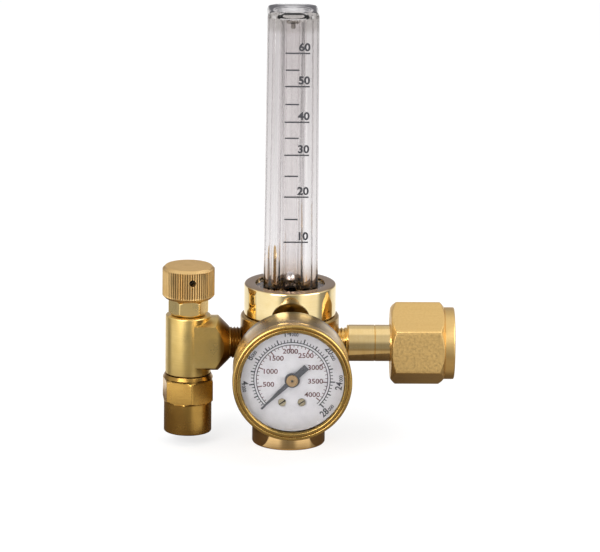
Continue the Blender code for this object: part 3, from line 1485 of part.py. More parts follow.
def main():
    clear_scene()
    materials = make_materials()
    axis = frame("body_axis", (0.0, 0.0, 0.0))
    inlet = frame("inlet_axis", (0.0, 0.0, PORT_HEIGHT), (0.0, 90.0, 0.0))
    outlet = frame("outlet_axis", (0.0, 0.0, PORT_HEIGHT), (0.0, -90.0, 0.0))
    valve = frame("valve_axis", (-VALVE_OFFSET, 0.0, 0.0))
    gauge = frame("gauge_axis", (0.0, 0.0, GAUGE_HEIGHT), (90.0, 0.0, 0.0))

    make_base_cap(materials, axis)
    make_body(materials, axis, inlet, outlet, gauge)
    make_piston(materials, axis)
    make_nozzle(materials, axis)
    make_spring(materials, axis)

    make_collar(materials, axis)
    make_cover(materials, axis)
    make_inner_tube(materials, axis)
    make_ball_stop(materials, axis)
    make_ball(materials, axis)

    make_nipple(materials, inlet)
    make_filter(materials, inlet)
    make_washer(materials, inlet)
    make_inlet_nut(materials, inlet)

    make_valve_body(materials, valve, outlet)
    make_valve_stem(materials, valve)
    gland_top = make_packing(materials, valve)
    make_packing_nut(materials, valve, gland_top)
    make_knob(materials, valve)
    make_connector(materials, valve)

    make_gauge_socket(materials, gauge)
    make_bourdon_tube(materials, gauge)
    make_movement_frame(materials, gauge)
    make_pinion_arbor(materials, gauge)
    make_sector_gear(materials, gauge)
    make_link(materials, gauge)
    make_hairspring(materials, gauge)
    make_case(materials, gauge)
    make_bezel(materials, gauge)
    make_dial(materials, gauge)
    make_pointer(materials, gauge)


main()
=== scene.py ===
"""Looks of a carbon dioxide welding regulator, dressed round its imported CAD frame.

All sizes are in metres. +Z is up, the gauge looks out along -Y, the cylinder nut is at +X and
the flow valve at -X. Each sub-assembly is a class that builds its pieces about its own axis and
then sets them in place. The CAD nodes that don't show keep their shape and only get a finish.
"""

import logging
import math
from collections.abc import Callable, Iterable, Sequence
from dataclasses import dataclass
from enum import Enum
from functools import cache

import bmesh
import bpy
from mathutils import Euler, Matrix, Vector


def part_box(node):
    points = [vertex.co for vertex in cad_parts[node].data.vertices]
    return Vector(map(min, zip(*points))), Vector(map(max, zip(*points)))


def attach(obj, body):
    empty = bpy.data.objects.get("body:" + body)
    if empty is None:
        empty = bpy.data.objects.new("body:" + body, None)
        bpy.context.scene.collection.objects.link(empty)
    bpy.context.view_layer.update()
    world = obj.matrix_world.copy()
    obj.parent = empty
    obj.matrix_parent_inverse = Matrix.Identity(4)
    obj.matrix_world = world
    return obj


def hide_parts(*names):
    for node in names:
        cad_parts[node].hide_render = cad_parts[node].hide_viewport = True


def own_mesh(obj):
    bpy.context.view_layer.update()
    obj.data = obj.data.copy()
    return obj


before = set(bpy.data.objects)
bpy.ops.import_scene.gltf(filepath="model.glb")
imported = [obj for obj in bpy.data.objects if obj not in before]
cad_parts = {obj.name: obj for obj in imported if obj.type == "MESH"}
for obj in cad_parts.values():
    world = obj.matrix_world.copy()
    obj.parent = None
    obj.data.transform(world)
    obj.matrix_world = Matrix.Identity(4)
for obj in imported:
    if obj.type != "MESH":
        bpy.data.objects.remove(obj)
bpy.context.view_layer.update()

LOG = logging.getLogger("regulator")
Colour = tuple[float, float, float]
Outline = list[tuple[float, float]]
Corner = tuple[float, float, float]
Socket = bpy.types.NodeSocket
Material = bpy.types.Material
Mesh = bpy.types.Mesh

WHITE: Colour = (1.0, 1.0, 1.0)
FIT = 0.0003  # clearance between pieces that seat on each other
BROAD = 144  # facets round a broad turned piece
ROUND = 112  # facets round a turned piece
SLIM = 96  # facets round a bar or a tube
FINE = 64  # facets round a small turned piece
SHARP = math.radians(24.0)  # edges that turn more than this stay crisp
NOTHING = 1e-7  # lengths below this count as zero
NEAR = 0.0001  # how far from a cylinder a point may lie to be cut with its thread
PROUD = 0.0002  # how far an outline stands past the corners that flats are milled from
INK = 0.00005  # thickness of printed marks
INK_LIFT = INK / 2.0 + 0.00001  # height of a print's middle over its face
CUT = "cut"  # attribute that says how deep in a vee a point lies


class Way(Enum):
    """How a metal surface was worked, which sets the direction of its fine lines."""

    TURNED = "turned"
    MILLED = "milled"
    PLAIN = "plain"


@dataclass(frozen=True)
class Axis:
    """Line that pieces are turned about, with the direction that counts as angle zero."""

    name: str
    origin: tuple[float, float, float]
    along: tuple[float, float, float]
    across: tuple[float, float, float]

    def matrix(self) -> Matrix:
        """Place of the axis.

        Returns:
            The matrix that carries a point of this axis's own frame to the object's frame.
        """
        along = Vector(self.along)
        across = Vector(self.across)
        turn = Matrix((across, along.cross(across), along)).transposed()
        return Matrix.Translation(Vector(self.origin)) @ turn.to_4x4()


PORT_HEIGHT = 0.0440
VALVE_OFFSET = 0.0436
GAUGE_HEIGHT = 0.0403
BODY_AXIS = Axis("body", (0.0, 0.0, 0.0), (0.0, 0.0, 1.0), (1.0, 0.0, 0.0))
INLET_AXIS = Axis("inlet", (0.0, 0.0, PORT_HEIGHT), (1.0, 0.0, 0.0), (0.0, 0.0, 1.0))
OUTLET_AXIS = Axis("outlet", (0.0, 0.0, PORT_HEIGHT), (-1.0, 0.0, 0.0), (0.0, 0.0, 1.0))
VALVE_AXIS = Axis("valve", (-VALVE_OFFSET, 0.0, 0.0), (0.0, 0.0, 1.0), (1.0, 0.0, 0.0))
GAUGE_AXIS = Axis("gauge", (0.0, 0.0, GAUGE_HEIGHT), (0.0, -1.0, 0.0), (1.0, 0.0, 0.0))


class Graph:
    """Node tree that is written down as calls, so that each pattern reads as a formula."""

    def __init__(self, tree: bpy.types.NodeTree) -> None:
        """Take over a node tree.

        Args:
            tree: the tree that the nodes are added to.
        """
        self.tree = tree

    def node(self, kind: str, inputs: dict | None = None, **settings: object) -> bpy.types.Node:
        """Add a node.

        Args:
            kind: the node's type.
            inputs: values or sockets for its inputs, by name or place.
            settings: properties of the node.

        Returns:
            The new node.
        """
        made = self.tree.nodes.new(kind)
        for name, value in settings.items():
            setattr(made, name, value)
        self.fill(made, inputs or {})
        return made

    def fill(self, node: bpy.types.Node, inputs: dict) -> None:
        """Link sockets to a node's inputs, or set the inputs' own values.

        Args:
            node: the node.
            inputs: sockets, numbers, vectors or colours, by the input's name or place.
        """
        for key, value in inputs.items():
            socket = node.inputs[key]
            if isinstance(value, Socket):
                self.tree.links.new(value, socket)
            elif socket.type == "RGBA":
                socket.default_value = (*value, 1.0)
            else:
                socket.default_value = value

    def math(self, operation: str, *values: object) -> Socket:
        """Result of a Math node on numbers or sockets."""
        inputs = dict(enumerate(values))
        return self.node("ShaderNodeMath", inputs, operation=operation).outputs[0]

    def times(self, first: object, second: object) -> Socket:
        """Product of two numbers or sockets."""
        return self.math("MULTIPLY", first, second)

    def between(
        self, value: object, low: float, high: float, start: float = 0.0, end: float = 1.0
    ) -> Socket:
        """Value carried smoothly from the range low..high to the range start..end."""
        inputs = {"Value": value, 1: low, 2: high, 3: start, 4: end}
        return self.node("ShaderNodeMapRange", inputs, interpolation_type="SMOOTHSTEP").outputs[0]

    def vector(self, x: object, y: object, z: object) -> Socket:
        """Vector from three numbers or sockets."""
        return self.node("ShaderNodeCombineXYZ", {0: x, 1: y, 2: z}).outputs[0]

    def parts(self, vector: Socket) -> dict[str, Socket]:
        """The three numbers of a vector, by direction."""
        return dict(zip("XYZ", self.node("ShaderNodeSeparateXYZ", {0: vector}).outputs))

    def radius(self, x: Socket, y: Socket) -> Socket:
        """Distance from the Z axis."""
        return self.math("SQRT", self.math("ADD", self.times(x, x), self.times(y, y)))

    def place(self) -> Socket:
        """Place on the piece, in the object's frame."""
        return self.node("ShaderNodeTexCoord").outputs["Object"]

    def noise(self, where: Socket, scale: float, detail: float = 2.0, rough: float = 0.5) -> Socket:
        """Noise in 0..1 at a place."""
        inputs = {"Vector": where, "Scale": scale, "Detail": detail, "Roughness": rough}
        return self.node("ShaderNodeTexNoise", inputs).outputs[0]

    def bump(self, height: Socket, distance: float) -> Socket:
        """Normal of a surface that stands up to a distance high where the height is 1."""
        return self.node("ShaderNodeBump", {"Height": height, "Distance": distance}).outputs[0]

    def blend(self, share: object, first: object, second: object, way: str = "MIX") -> Socket:
        """Colour part of the way from the first to the second."""
        inputs = {0: share, 6: first, 7: second}
        return self.node("ShaderNodeMix", inputs, data_type="RGBA", blend_type=way).outputs[2]

    def seen(self) -> Socket:
        """One where the camera looks, straight or through clear plastic, and nothing elsewhere."""
        rays = self.node("ShaderNodeLightPath").outputs
        return self.math("MAXIMUM", rays["Is Camera Ray"], rays["Is Transmission Ray"])

    def ramp(self, value: Socket, stops: Sequence[tuple[float, float]]) -> Socket:
        """Grey that eases from one stop to the next.

        Args:
            value: how far along the ramp, in 0..1.
            stops: the position and level of each stop.

        Returns:
            The grey as a colour.
        """
        made = self.node("ShaderNodeValToRGB", {0: value})
        made.color_ramp.interpolation = "EASE"
        while len(made.color_ramp.elements) < len(stops):
            made.color_ramp.elements.new(0.5)
        for element, (position, level) in zip(made.color_ramp.elements, stops):
            element.position = position
            element.color = (level, level, level, 1.0)
        return made.outputs[0]


def new_material(name: str) -> tuple[Material, Graph, bpy.types.Node]:
    """Start a material.

    Args:
        name: the material's name.

    Returns:
        The material, its graph and its Principled shader.
    """
    made = bpy.data.materials.new(name)
    made.use_nodes = True
    return made, Graph(made.node_tree), made.node_tree.nodes["Principled BSDF"]


@dataclass(frozen=True)
class Stain:
    """Painted shade: a darker patch that sets in along one direction of the piece's own axis frame."""

    colour: Colour
    direction: str
    start: float
    end: float
    ragged: float = 0.001


@dataclass(frozen=True)
class Band:
    """Part past a height along the axis that was finished apart from the rest."""

    start: float
    roughness: float


@dataclass(frozen=True)
class Metal:
    """Machined metal: its colour, the tint it varies to, its gloss, its tool marks and the shade painted into
    it.
    """

    name: str
    colour: Colour
    tint: Colour
    roughness: float
    way: Way = Way.TURNED
    marks: float = 0.000004
    pitch: float = 0.00045
    mottle: float = 0.35
    cloud: float = 170.0
    # Painted shade in the vees of threads and knurls: the colour it darkens to, how strongly, and from what
    # depth of the vee.
    grime: Colour = (0.13, 0.075, 0.02)
    grime_share: float = 0.8
    grime_from: float = 0.15
    stains: tuple[Stain, ...] = ()
    band: Band | None = None

    @cache
    def on(self, axis: Axis) -> Material:
        """Material with its tool marks about an axis.

        Args:
            axis: the axis that the piece was turned about, or was milled along.

        Returns:
            The material, made once for each axis.
        """
        made, graph, shader = new_material(f"{self.name}_{axis.name}")
        seat = axis.matrix()
        inputs = {"Vector": graph.place(), "Location": seat.translation, "Rotation": seat.to_euler()}
        local = graph.node("ShaderNodeMapping", inputs, vector_type="TEXTURE").outputs[0]
        marks = self.tool_marks(graph, local)
        cloud = graph.noise(local, self.cloud, 3.0)
        worn = graph.blend(graph.times(graph.between(cloud, 0.35, 0.7), self.mottle), self.colour, self.tint)
        unshaded = graph.blend(graph.between(marks, 0.3, 0.75, 0.0, 0.22), worn, self.tint)
        # Painted shade: the colour darkens deep in the vees of a thread or knurl, where the cut attribute is
        # high.
        cut = graph.node("ShaderNodeAttribute", attribute_name=CUT).outputs["Fac"]
        in_hollow_shade = graph.between(cut, self.grime_from, 1.0, 0.0, self.grime_share)
        colour = graph.blend(in_hollow_shade, unshaded, self.grime)
        parts = graph.parts(local)
        # Painted shade: each patch darkens the colour past a level along one direction of the axis frame.
        for shade_patch in self.stains:
            edge = graph.math("ADD", parts[shade_patch.direction], graph.times(cloud, shade_patch.ragged))
            colour = graph.blend(graph.between(edge, shade_patch.start, shade_patch.end), colour, shade_patch.colour)
        gloss = graph.between(cloud, 0.2, 0.8, self.roughness * 0.8, self.roughness * 1.25)
        if self.band:
            past = graph.math("GREATER_THAN", parts["Z"], self.band.start)
            inputs = {0: past, 2: gloss, 3: self.band.roughness}
            gloss = graph.node("ShaderNodeMix", inputs, data_type="FLOAT").outputs[0]
        bump = graph.bump(marks, self.marks)
        graph.fill(shader, {"Base Color": colour, "Roughness": gloss, "Normal": bump, "Metallic": 1.0})
        return made

    def tool_marks(self, graph: Graph, local: Socket) -> Socket:
        """Noise drawn out along the way that the tool moved.

        Args:
            graph: the material's node tree.
            local: the place on the piece in its axis's frame.

        Returns:
            A height in 0..1.
        """
        if self.way is Way.PLAIN:
            return graph.noise(local, 0.25 / self.pitch)
        x, y, z = graph.parts(local).values()
        if self.way is Way.MILLED:
            drawn = graph.vector(x, y, graph.times(z, 0.04))
        else:
            turn = graph.times(graph.math("ARCTAN2", y, x), 0.0002)
            drawn = graph.vector(graph.radius(x, y), z, turn)
        return graph.noise(drawn, 1.0 / self.pitch, 2.0, 0.6)


@dataclass(frozen=True)
class Coat:
    """Paint, rubber, plastic or print: a colour with a faint uneven surface."""

    name: str
    colour: Colour
    tint: Colour
    roughness: float
    grain: float = 0.0000012
    scale: float = 1800.0

    @cache
    def material(self) -> Material:
        """Material of the coat.

        Returns:
            The material, made once.
        """
        made, graph, shader = new_material(self.name)
        place = graph.place()
        cloud = graph.noise(place, 260.0, 3.0)
        fine = graph.noise(place, self.scale)
        inputs = {
            "Base Color": graph.blend(graph.between(cloud, 0.3, 0.75), self.colour, self.tint),
            "Roughness": graph.between(fine, 0.2, 0.8, self.roughness * 0.85, self.roughness * 1.15),
            "Normal": graph.bump(fine, self.grain),
        }
        graph.fill(shader, inputs)
        return made


@dataclass(frozen=True)
class Clear:
    """Clear moulded plastic: a faint tint, fine flow lines along it and slightly wavy faces."""

    name: str
    colour: Colour
    tint: Colour
    index: float
    roughness: float
    wave: float = 0.000006
    skin_radius: float = 0.0
    skin_floor: float = 0.0
    skin_low: Colour = WHITE
    skin_high: Colour = WHITE
    span: tuple[float, float] = (0.0, 1.0)
    foot: Colour = WHITE
    foot_span: tuple[float, float] = (0.0, 1.0)
    cap: Colour = WHITE
    cap_span: tuple[float, float] = (0.0, 1.0)

    @cache
    def material(self) -> Material:
        """Material of the plastic, with painted shade on its outer faces where it has one.

        Returns:
            The material, made once.
        """
        made, graph, shader = new_material(self.name)
        place = graph.place()
        x, y, z = graph.parts(place).values()
        lines = graph.noise(graph.vector(x, y, graph.times(z, 0.02)), 620.0, 3.0)
        colour = graph.blend(graph.between(lines, 0.35, 0.7), self.colour, self.tint)
        # Painted shade on the outer faces: greyer towards the top, a painted brown reflection of the brass
        # near the foot, and a darker band near the top.
        if self.skin_radius > 0.0:
            outside = graph.math("GREATER_THAN", graph.radius(x, y), self.skin_radius)
            outside = graph.times(outside, graph.math("GREATER_THAN", z, self.skin_floor))
            painted_shade = graph.blend(graph.between(z, *self.span), self.skin_low, self.skin_high)
            painted_shade = graph.blend(graph.between(z, *self.foot_span, 1.0, 0.0), painted_shade, self.foot)
            painted_shade = graph.blend(graph.between(z, *self.cap_span), painted_shade, self.cap)
            colour = graph.blend(outside, colour, graph.blend(1.0, colour, painted_shade, "MULTIPLY"))
        inputs = {
            "Base Color": colour,
            "Normal": graph.bump(graph.noise(place, 90.0), self.wave),
            "Roughness": self.roughness,
            "IOR": self.index,
            "Transmission Weight": 1.0,
        }
        graph.fill(shader, inputs)
        return made


# Painted shade: the body's colour is set darker than the other brass, for the shade it stands in behind the
# gauge and under the collar.
BODY_BRASS = Metal("body_turned", (0.43, 0.28, 0.09), (0.31, 0.18, 0.05), 0.25)
BASE_BRASS = Metal("base_turned", (0.76, 0.50, 0.22), (0.58, 0.36, 0.135), 0.10)
MIRROR_BRASS = Metal(
    "collar_polished",
    (0.86, 0.70, 0.39),
    (0.76, 0.57, 0.24),
    0.08,
    marks=0.0000012,
    # Painted shade: the collar's top face and upper rim are darkened to brown.
    stains=(Stain((0.42, 0.29, 0.16), "Z", 0.0703, 0.0707, 0.0002),),
)
POLISHED_BRASS = Metal("nipple_polished", (0.89, 0.67, 0.33), (0.72, 0.48, 0.17), 0.12, marks=0.000005)
NUT_BRASS = Metal(
    "nut_milled",
    (0.72, 0.49, 0.195),
    (0.59, 0.375, 0.13),
    0.44,
    Way.MILLED,
    marks=0.000020,
    pitch=0.0009,
    mottle=0.20,
    cloud=950.0,
    band=Band(0.06655, 0.36),
)
VALVE_BRASS = Metal(
    "valve_satin",
    (0.72, 0.52, 0.19),
    (0.54, 0.365, 0.10),
    0.31,
    marks=0.000007,
    # Painted shade: darker towards the regulator body, on the boss's coned end and the thread that goes in.
    stains=(Stain((0.21, 0.105, 0.02), "X", 0.0125, 0.0150),),
)
PACKING_BRASS = Metal("packing_satin", (0.93, 0.71, 0.32), (0.78, 0.55, 0.20), 0.27, marks=0.000006)
# Painted shade: the outlet's colour is set darker than the other brass, and its neck darkens further just
# under the valve body.
OUTLET_BRASS = Metal(
    "outlet_turned",
    (0.60, 0.36, 0.09),
    (0.40, 0.21, 0.045),
    0.25,
    stains=(Stain((0.30, 0.17, 0.04), "Z", 0.0279, 0.0290),),
)
KNOB_BRASS = Metal(
    "knob_satin",
    (0.66, 0.45, 0.20),
    (0.50, 0.32, 0.12),
    0.42,
    # Painted shade: the knurl's grooves darken almost to black.
    grime=(0.05, 0.026, 0.006),
    grime_share=0.94,
    grime_from=0.30,
    band=Band(0.0780, 0.62),
)
CASE_BRASS = Metal(
    "case_satin",
    (0.64, 0.48, 0.26),
    (0.52, 0.37, 0.17),
    0.30,
    stains=(
        # Painted shade: the case darkens towards its top, under the collar and body, and towards its back
        # face, which faces the body.
        Stain((0.21, 0.135, 0.045), "Y", 0.0200, 0.0243, 0.002),
        Stain((0.09, 0.055, 0.018), "Z", 0.0335, 0.0300),
    ),
)
BEZEL_BRASS = Metal("bezel_rolled", (0.53, 0.34, 0.105), (0.38, 0.23, 0.06), 0.25)
WORKS_BRASS = Metal("works_stamped", (0.62, 0.46, 0.20), (0.50, 0.34, 0.12), 0.30, Way.PLAIN)
HUB_BRASS = Metal(
    "hub_satin",
    (0.37, 0.24, 0.115),
    (0.28, 0.17, 0.065),
    0.42,
    # Painted shade in the hub's centre recess and on the back part of its side.
    stains=(Stain((0.05, 0.03, 0.01), "Z", 0.0480, 0.0477, 0.0),),
)
SCREW_BRASS = Metal(
    "screw_dull",
    (0.38, 0.32, 0.20),
    (0.22, 0.18, 0.10),
    0.40,
    # Painted shade in the slot and towards the back of the head.
    stains=(Stain((0.025, 0.02, 0.01), "Z", 0.0460, 0.0457, 0.0),),
)
TUBE_BRONZE = Metal("bronze_drawn", (0.50, 0.31, 0.16), (0.38, 0.22, 0.10), 0.32)
SINTERED = Metal(
    "bronze_sintered", (0.40, 0.27, 0.15), (0.22, 0.14, 0.08), 0.75, Way.PLAIN, marks=0.00006, pitch=0.0002
)
CHROME = Metal(
    "ball_polished", (0.88, 0.88, 0.90), (0.80, 0.80, 0.82), 0.05, Way.PLAIN, marks=0.0000005
)
STEEL = Metal("steel_plain", (0.56, 0.56, 0.57), (0.44, 0.44, 0.45), 0.30)
DARK_STEEL = Metal("steel_blackened", (0.07, 0.07, 0.07), (0.03, 0.03, 0.03), 0.45, Way.PLAIN)
RUBBER = Coat("seal_rubber", (0.02, 0.02, 0.02), (0.035, 0.035, 0.035), 0.55)
BROWN_RUBBER = Coat("seal_rubber_brown", (0.30, 0.19, 0.11), (0.22, 0.13, 0.07), 0.50)
NYLON = Coat("washer_nylon", (0.80, 0.78, 0.70), (0.74, 0.71, 0.61), 0.42)
STOP_PLASTIC = Coat("stop_plastic", (0.52, 0.47, 0.42), (0.44, 0.40, 0.36), 0.35)
DIAL_PAINT = Coat("dial_paint", (0.66, 0.64, 0.65), (0.59, 0.57, 0.58), 0.45)
POINTER_PAINT = Coat("pointer_paint", (0.045, 0.045, 0.055), (0.03, 0.03, 0.035), 0.42)
BLACK_INK = Coat("ink_black", (0.015, 0.015, 0.02), (0.03, 0.03, 0.035), 0.5)
RED_INK = Coat("ink_red_brown", (0.12, 0.022, 0.022), (0.09, 0.02, 0.02), 0.5)
# Painted shade on the cover's outer faces: greyer towards the top, a painted brown reflection of the brass
# near its foot, and darker in a band near its top.
COVER_PLASTIC = Clear(
    "cover_clear",
    (0.99, 0.98, 0.98),
    (0.87, 0.85, 0.85),
    1.50,
    0.015,
    skin_radius=0.0096,
    skin_floor=0.06965,
    skin_low=(0.835, 0.82, 0.82),
    skin_high=(0.635, 0.61, 0.61),
    span=(0.080, 0.185),
    foot=(0.53, 0.41, 0.32),
    foot_span=(0.072, 0.083),
    cap=(0.46, 0.435, 0.42),
    cap_span=(0.1815, 0.1840),
)
TUBE_PLASTIC = Clear("tube_clear", (0.99, 0.985, 0.985), (0.95, 0.935, 0.935), 1.50, 0.015)
CLEAR_LENS = Clear("lens_clear", (0.99, 0.99, 1.0), (0.985, 0.99, 0.995), 1.45, 0.01, wave=0.000002)


def rounded(corners: Sequence[Corner], closed: bool = False, steps: int = 5) -> Outline:
    """Outline with an arc at each corner that has a fillet.

    Args:
        corners: (first, second, fillet) for each corner; a fillet of zero keeps it crisp.
        closed: whether the last corner joins the first.
        steps: how many chords an arc has.

    Returns:
        The outline's points in order.
    """
    points: Outline = []
    count = len(corners)
    for i, (a, b, fillet) in enumerate(corners):
        inside = closed or 0 < i < count - 1
        if fillet <= 0.0 or not inside:
            points.append((a, b))
            continue
        here = Vector((a, b))
        back = (Vector(corners[i - 1][:2]) - here).normalized()
        ahead = (Vector(corners[(i + 1) % count][:2]) - here).normalized()
        half = back.angle(ahead) / 2.0
        trim = fillet / math.tan(half)
        weight = math.sin(half)
        for k in range(steps + 1):
            t = k / steps
            shares = ((1.0 - t) ** 2, 2.0 * weight * t * (1.0 - t), t * t)
            total = sum(shares)
            point = (here + back * trim) * shares[0] + here * shares[1] + (here + ahead * trim) * shares[2]
            points.append((point.x / total, point.y / total))
    return points


def rows(radius: float, start: float, end: float, step: float) -> list[Corner]:
    """Closely spaced points along a cylinder, for a thread or a knurl to be cut into."""
    count = max(1, round(abs(end - start) / step))
    return [(radius, start + (end - start) * i / count, 0.0) for i in range(count + 1)]


def skin(rings: Sequence[Sequence[Vector]], closed: bool = False) -> Mesh:
    """Mesh over rings that all have the same number of points.

    Args:
        rings: the rings in order; a ring of one point is a pole.
        closed: whether the last ring joins the first.

    Returns:
        A mesh whose faces point outwards.
    """
    mesh = bmesh.new()
    made = [[mesh.verts.new(point) for point in ring] for ring in rings]
    pairs = list(zip(made, made[1:]))
    if closed:
        pairs.append((made[-1], made[0]))
    for lower, upper in pairs:
        for i in range(max(len(lower), len(upper))):
            below = [lower[k % len(lower)] for k in (i, i + 1)]
            above = [upper[k % len(upper)] for k in (i + 1, i)]
            mesh.faces.new(list(dict.fromkeys(below + above)))
    bmesh.ops.recalc_face_normals(mesh, faces=mesh.faces)
    return settled(mesh)


def settled(mesh: bmesh.types.BMesh) -> Mesh:
    """Turn a mesh that was under work into a finished one.

    Args:
        mesh: the mesh under work, which is freed.

    Returns:
        The finished mesh.
    """
    result = bpy.data.meshes.new("made")
    mesh.to_mesh(result)
    mesh.free()
    return result


def swept(rings: Sequence[Sequence[Vector]]) -> Mesh:
    """Mesh over open rings, closed at both ends from the middle of the end ring."""
    ends = [[sum(rings[i], Vector()) / len(rings[i])] for i in (0, -1)]
    return skin([ends[0], *rings, ends[1]])


def ring(radius: float, height: float, angles: Sequence[float]) -> list[Vector]:
    """Circle of points about the axis.

    Args:
        radius: the circle's radius.
        height: where it lies along the axis.
        angles: the angle of each point.

    Returns:
        The points, or the centre alone where the radius is nothing.
    """
    if radius < NOTHING:
        return [Vector((0.0, 0.0, height))]
    return [Vector((radius * math.cos(a), radius * math.sin(a), height)) for a in angles]


def turned(
    corners: Sequence[Corner], sides: int = ROUND, centre: tuple[float, float] = (0.0, 0.0)
) -> Mesh:
    """Turn an outline of (radius, height, fillet) corners about the axis.

    Args:
        corners: the outline, round the piece's section once.
        sides: facets round a full turn.
        centre: where the axis stands.

    Returns:
        The closed mesh.
    """
    angles = [2.0 * math.pi * i / sides for i in range(sides)]
    hollow = corners[0][0] > NOTHING
    outline = rounded(corners, closed=hollow)
    mesh = skin([ring(radius, height, angles) for radius, height in outline], closed=hollow)
    mesh.transform(Matrix.Translation((*centre, 0.0)))
    return mesh


def drill(
    start: float,
    levels: Sequence[tuple[float, float]],
    sides: int = FINE,
    centre: tuple[float, float] = (0.0, 0.0),
) -> Mesh:
    """Solid stepped cylinder that a hole is cut with.

    Args:
        start: where it begins along the axis.
        levels: the radius of each step and the height at which the step ends.
        sides: facets round a full turn.
        centre: where the axis stands.

    Returns:
        The closed mesh.
    """
    corners = [(0.0, start, 0.0)]
    for radius, end in levels:
        corners += [(radius, start, 0.0), (radius, end, 0.0)]
        start = end
    return turned([*corners, (0.0, start, 0.0)], sides, centre)


def chamfered(
    start: float, flats: float, span: tuple[float, float], rise: float, steps: int
) -> list[Corner]:
    """Outline of a hexagon bar with a chamfer turned on each end.

    Args:
        start: the radius at the ends.
        flats: the width across the flats.
        span: the heights of the two ends.
        rise: how far along the axis each chamfer reaches.
        steps: how many rows a chamfer has.

    Returns:
        The outline's corners from the lower end to the upper one.
    """
    low, high = span
    full = flats / math.sqrt(3.0) + PROUD
    cut = [(start + (full - start) * i / steps, rise * i / steps) for i in range(steps + 1)]
    lower = [(radius, low + height, 0.0) for radius, height in cut]
    upper = [(radius, high - height, 0.0) for radius, height in reversed(cut)]
    return lower + upper


def soft_min(first: float, second: float, blend: float) -> float:
    """Smaller of two lengths, rounded over where they are nearly equal."""
    near = max(blend - abs(first - second), 0.0) / blend
    return min(first, second) - near * near * blend / 4.0


@dataclass(frozen=True)
class Flats:
    """Regular polygon round an axis, with rounded corners."""

    across: float
    turn: float = 0.0
    count: int = 6
    corner: float = 0.0004

    def angles(self, per_flat: int = 15, per_corner: int = 4) -> list[float]:
        """Angles that are spread over the flats and close together at the corners.

        Args:
            per_flat: how many angles a flat has.
            per_corner: how many angles a corner has.

        Returns:
            The angles of a full turn in order.
        """
        half = math.pi / self.count
        flat_end = self.flat_end()
        steps = [flat_end * (2.0 * i / per_flat - 1.0) for i in range(per_flat)]
        steps += [flat_end + 2.0 * (half - flat_end) * i / per_corner for i in range(per_corner)]
        return [self.turn + half + k * 2.0 * half + step for k in range(self.count) for step in steps]

    def flat_end(self) -> float:
        """Angle from a flat's middle to where its corner starts to round."""
        reach = (self.across / 2.0 - self.corner) * math.tan(math.pi / self.count)
        return math.atan2(reach, self.across / 2.0)

    def reach(self, angle: float) -> float:
        """Distance from the axis to the polygon.

        Args:
            angle: the direction that is measured in.

        Returns:
            The distance.
        """
        half = math.pi / self.count
        off = abs((angle - self.turn) % (2.0 * half) - half)
        apothem = self.across / 2.0
        if off <= self.flat_end():
            return apothem / math.cos(off)
        centre = (apothem - self.corner) / math.cos(half)
        away = half - off
        return centre * math.cos(away) + math.sqrt(max(self.corner**2 - (centre * math.sin(away)) ** 2, 0.0))


def hexed(
    corners: Sequence[Corner], flats: Flats, span: tuple[float, float], blend: float = 0.00025
) -> Mesh:
    """Turned piece that is milled to flats between two heights.

    Args:
        corners: the turned outline before milling.
        flats: the polygon that is milled.
        span: the lowest and highest height that the cutter reaches.
        blend: how softly a flat meets the turned surface.

    Returns:
        The closed mesh.
    """
    angles = flats.angles()
    hollow = corners[0][0] > NOTHING
    low, high = span
    outer = flats.across * 0.49
    rings = []
    for radius, height in rounded(corners, closed=hollow):
        if low - NOTHING <= height <= high + NOTHING and radius > outer:
            reaches = [(soft_min(flats.reach(a), radius, blend), a) for a in angles]
            rings.append([Vector((r * math.cos(a), r * math.sin(a), height)) for r, a in reaches])
        else:
            rings.append(ring(radius, height, angles))
    return skin(rings, closed=hollow)


def extruded(outline: Outline, bottom: float, top: float) -> Mesh:
    """Straight prism on a flat outline that can be filled from its centre."""
    rings = [[Vector((x, y, z)) for x, y in outline] for z in (bottom, top)]
    return skin([[Vector((0.0, 0.0, bottom))], *rings, [Vector((0.0, 0.0, top))]])


def box_mesh(x: tuple[float, float], y: tuple[float, float], z: tuple[float, float]) -> Mesh:
    """Block between three pairs of limits.

    Args:
        x: its limits from left to right.
        y: its limits from front to back.
        z: its limits from bottom to top.

    Returns:
        The closed mesh.
    """
    middle = Vector((sum(x) / 2, sum(y) / 2, 0.0))
    outline = [(x[0] - middle.x, y[0] - middle.y), (x[1] - middle.x, y[0] - middle.y)]
    outline += [(x[1] - middle.x, y[1] - middle.y), (x[0] - middle.x, y[1] - middle.y)]
    mesh = extruded(outline, *z)
    mesh.transform(Matrix.Translation(middle))
    return mesh


def about(mesh: Mesh, axis: Axis) -> Mesh:
    """Mesh carried from an axis's own frame to the object's frame."""
    mesh.transform(axis.matrix())
    return mesh


def linked(name: str, data: bpy.types.ID | None) -> bpy.types.Object:
    """New object in the scene.

    Args:
        name: the object's name.
        data: its mesh, curve, camera or lamp.

    Returns:
        The object.
    """
    made = bpy.data.objects.new(name, data)
    bpy.context.scene.collection.objects.link(made)
    return made


def settle(holder: bpy.types.Object) -> Mesh:
    """Take the result of a scratch object's modifiers or letters, and remove the object.

    Args:
        holder: the scratch object.

    Returns:
        The result as a plain mesh.
    """
    depsgraph = bpy.context.evaluated_depsgraph_get()
    mesh = bpy.data.meshes.new_from_object(holder.evaluated_get(depsgraph))
    bpy.data.objects.remove(holder)
    return mesh


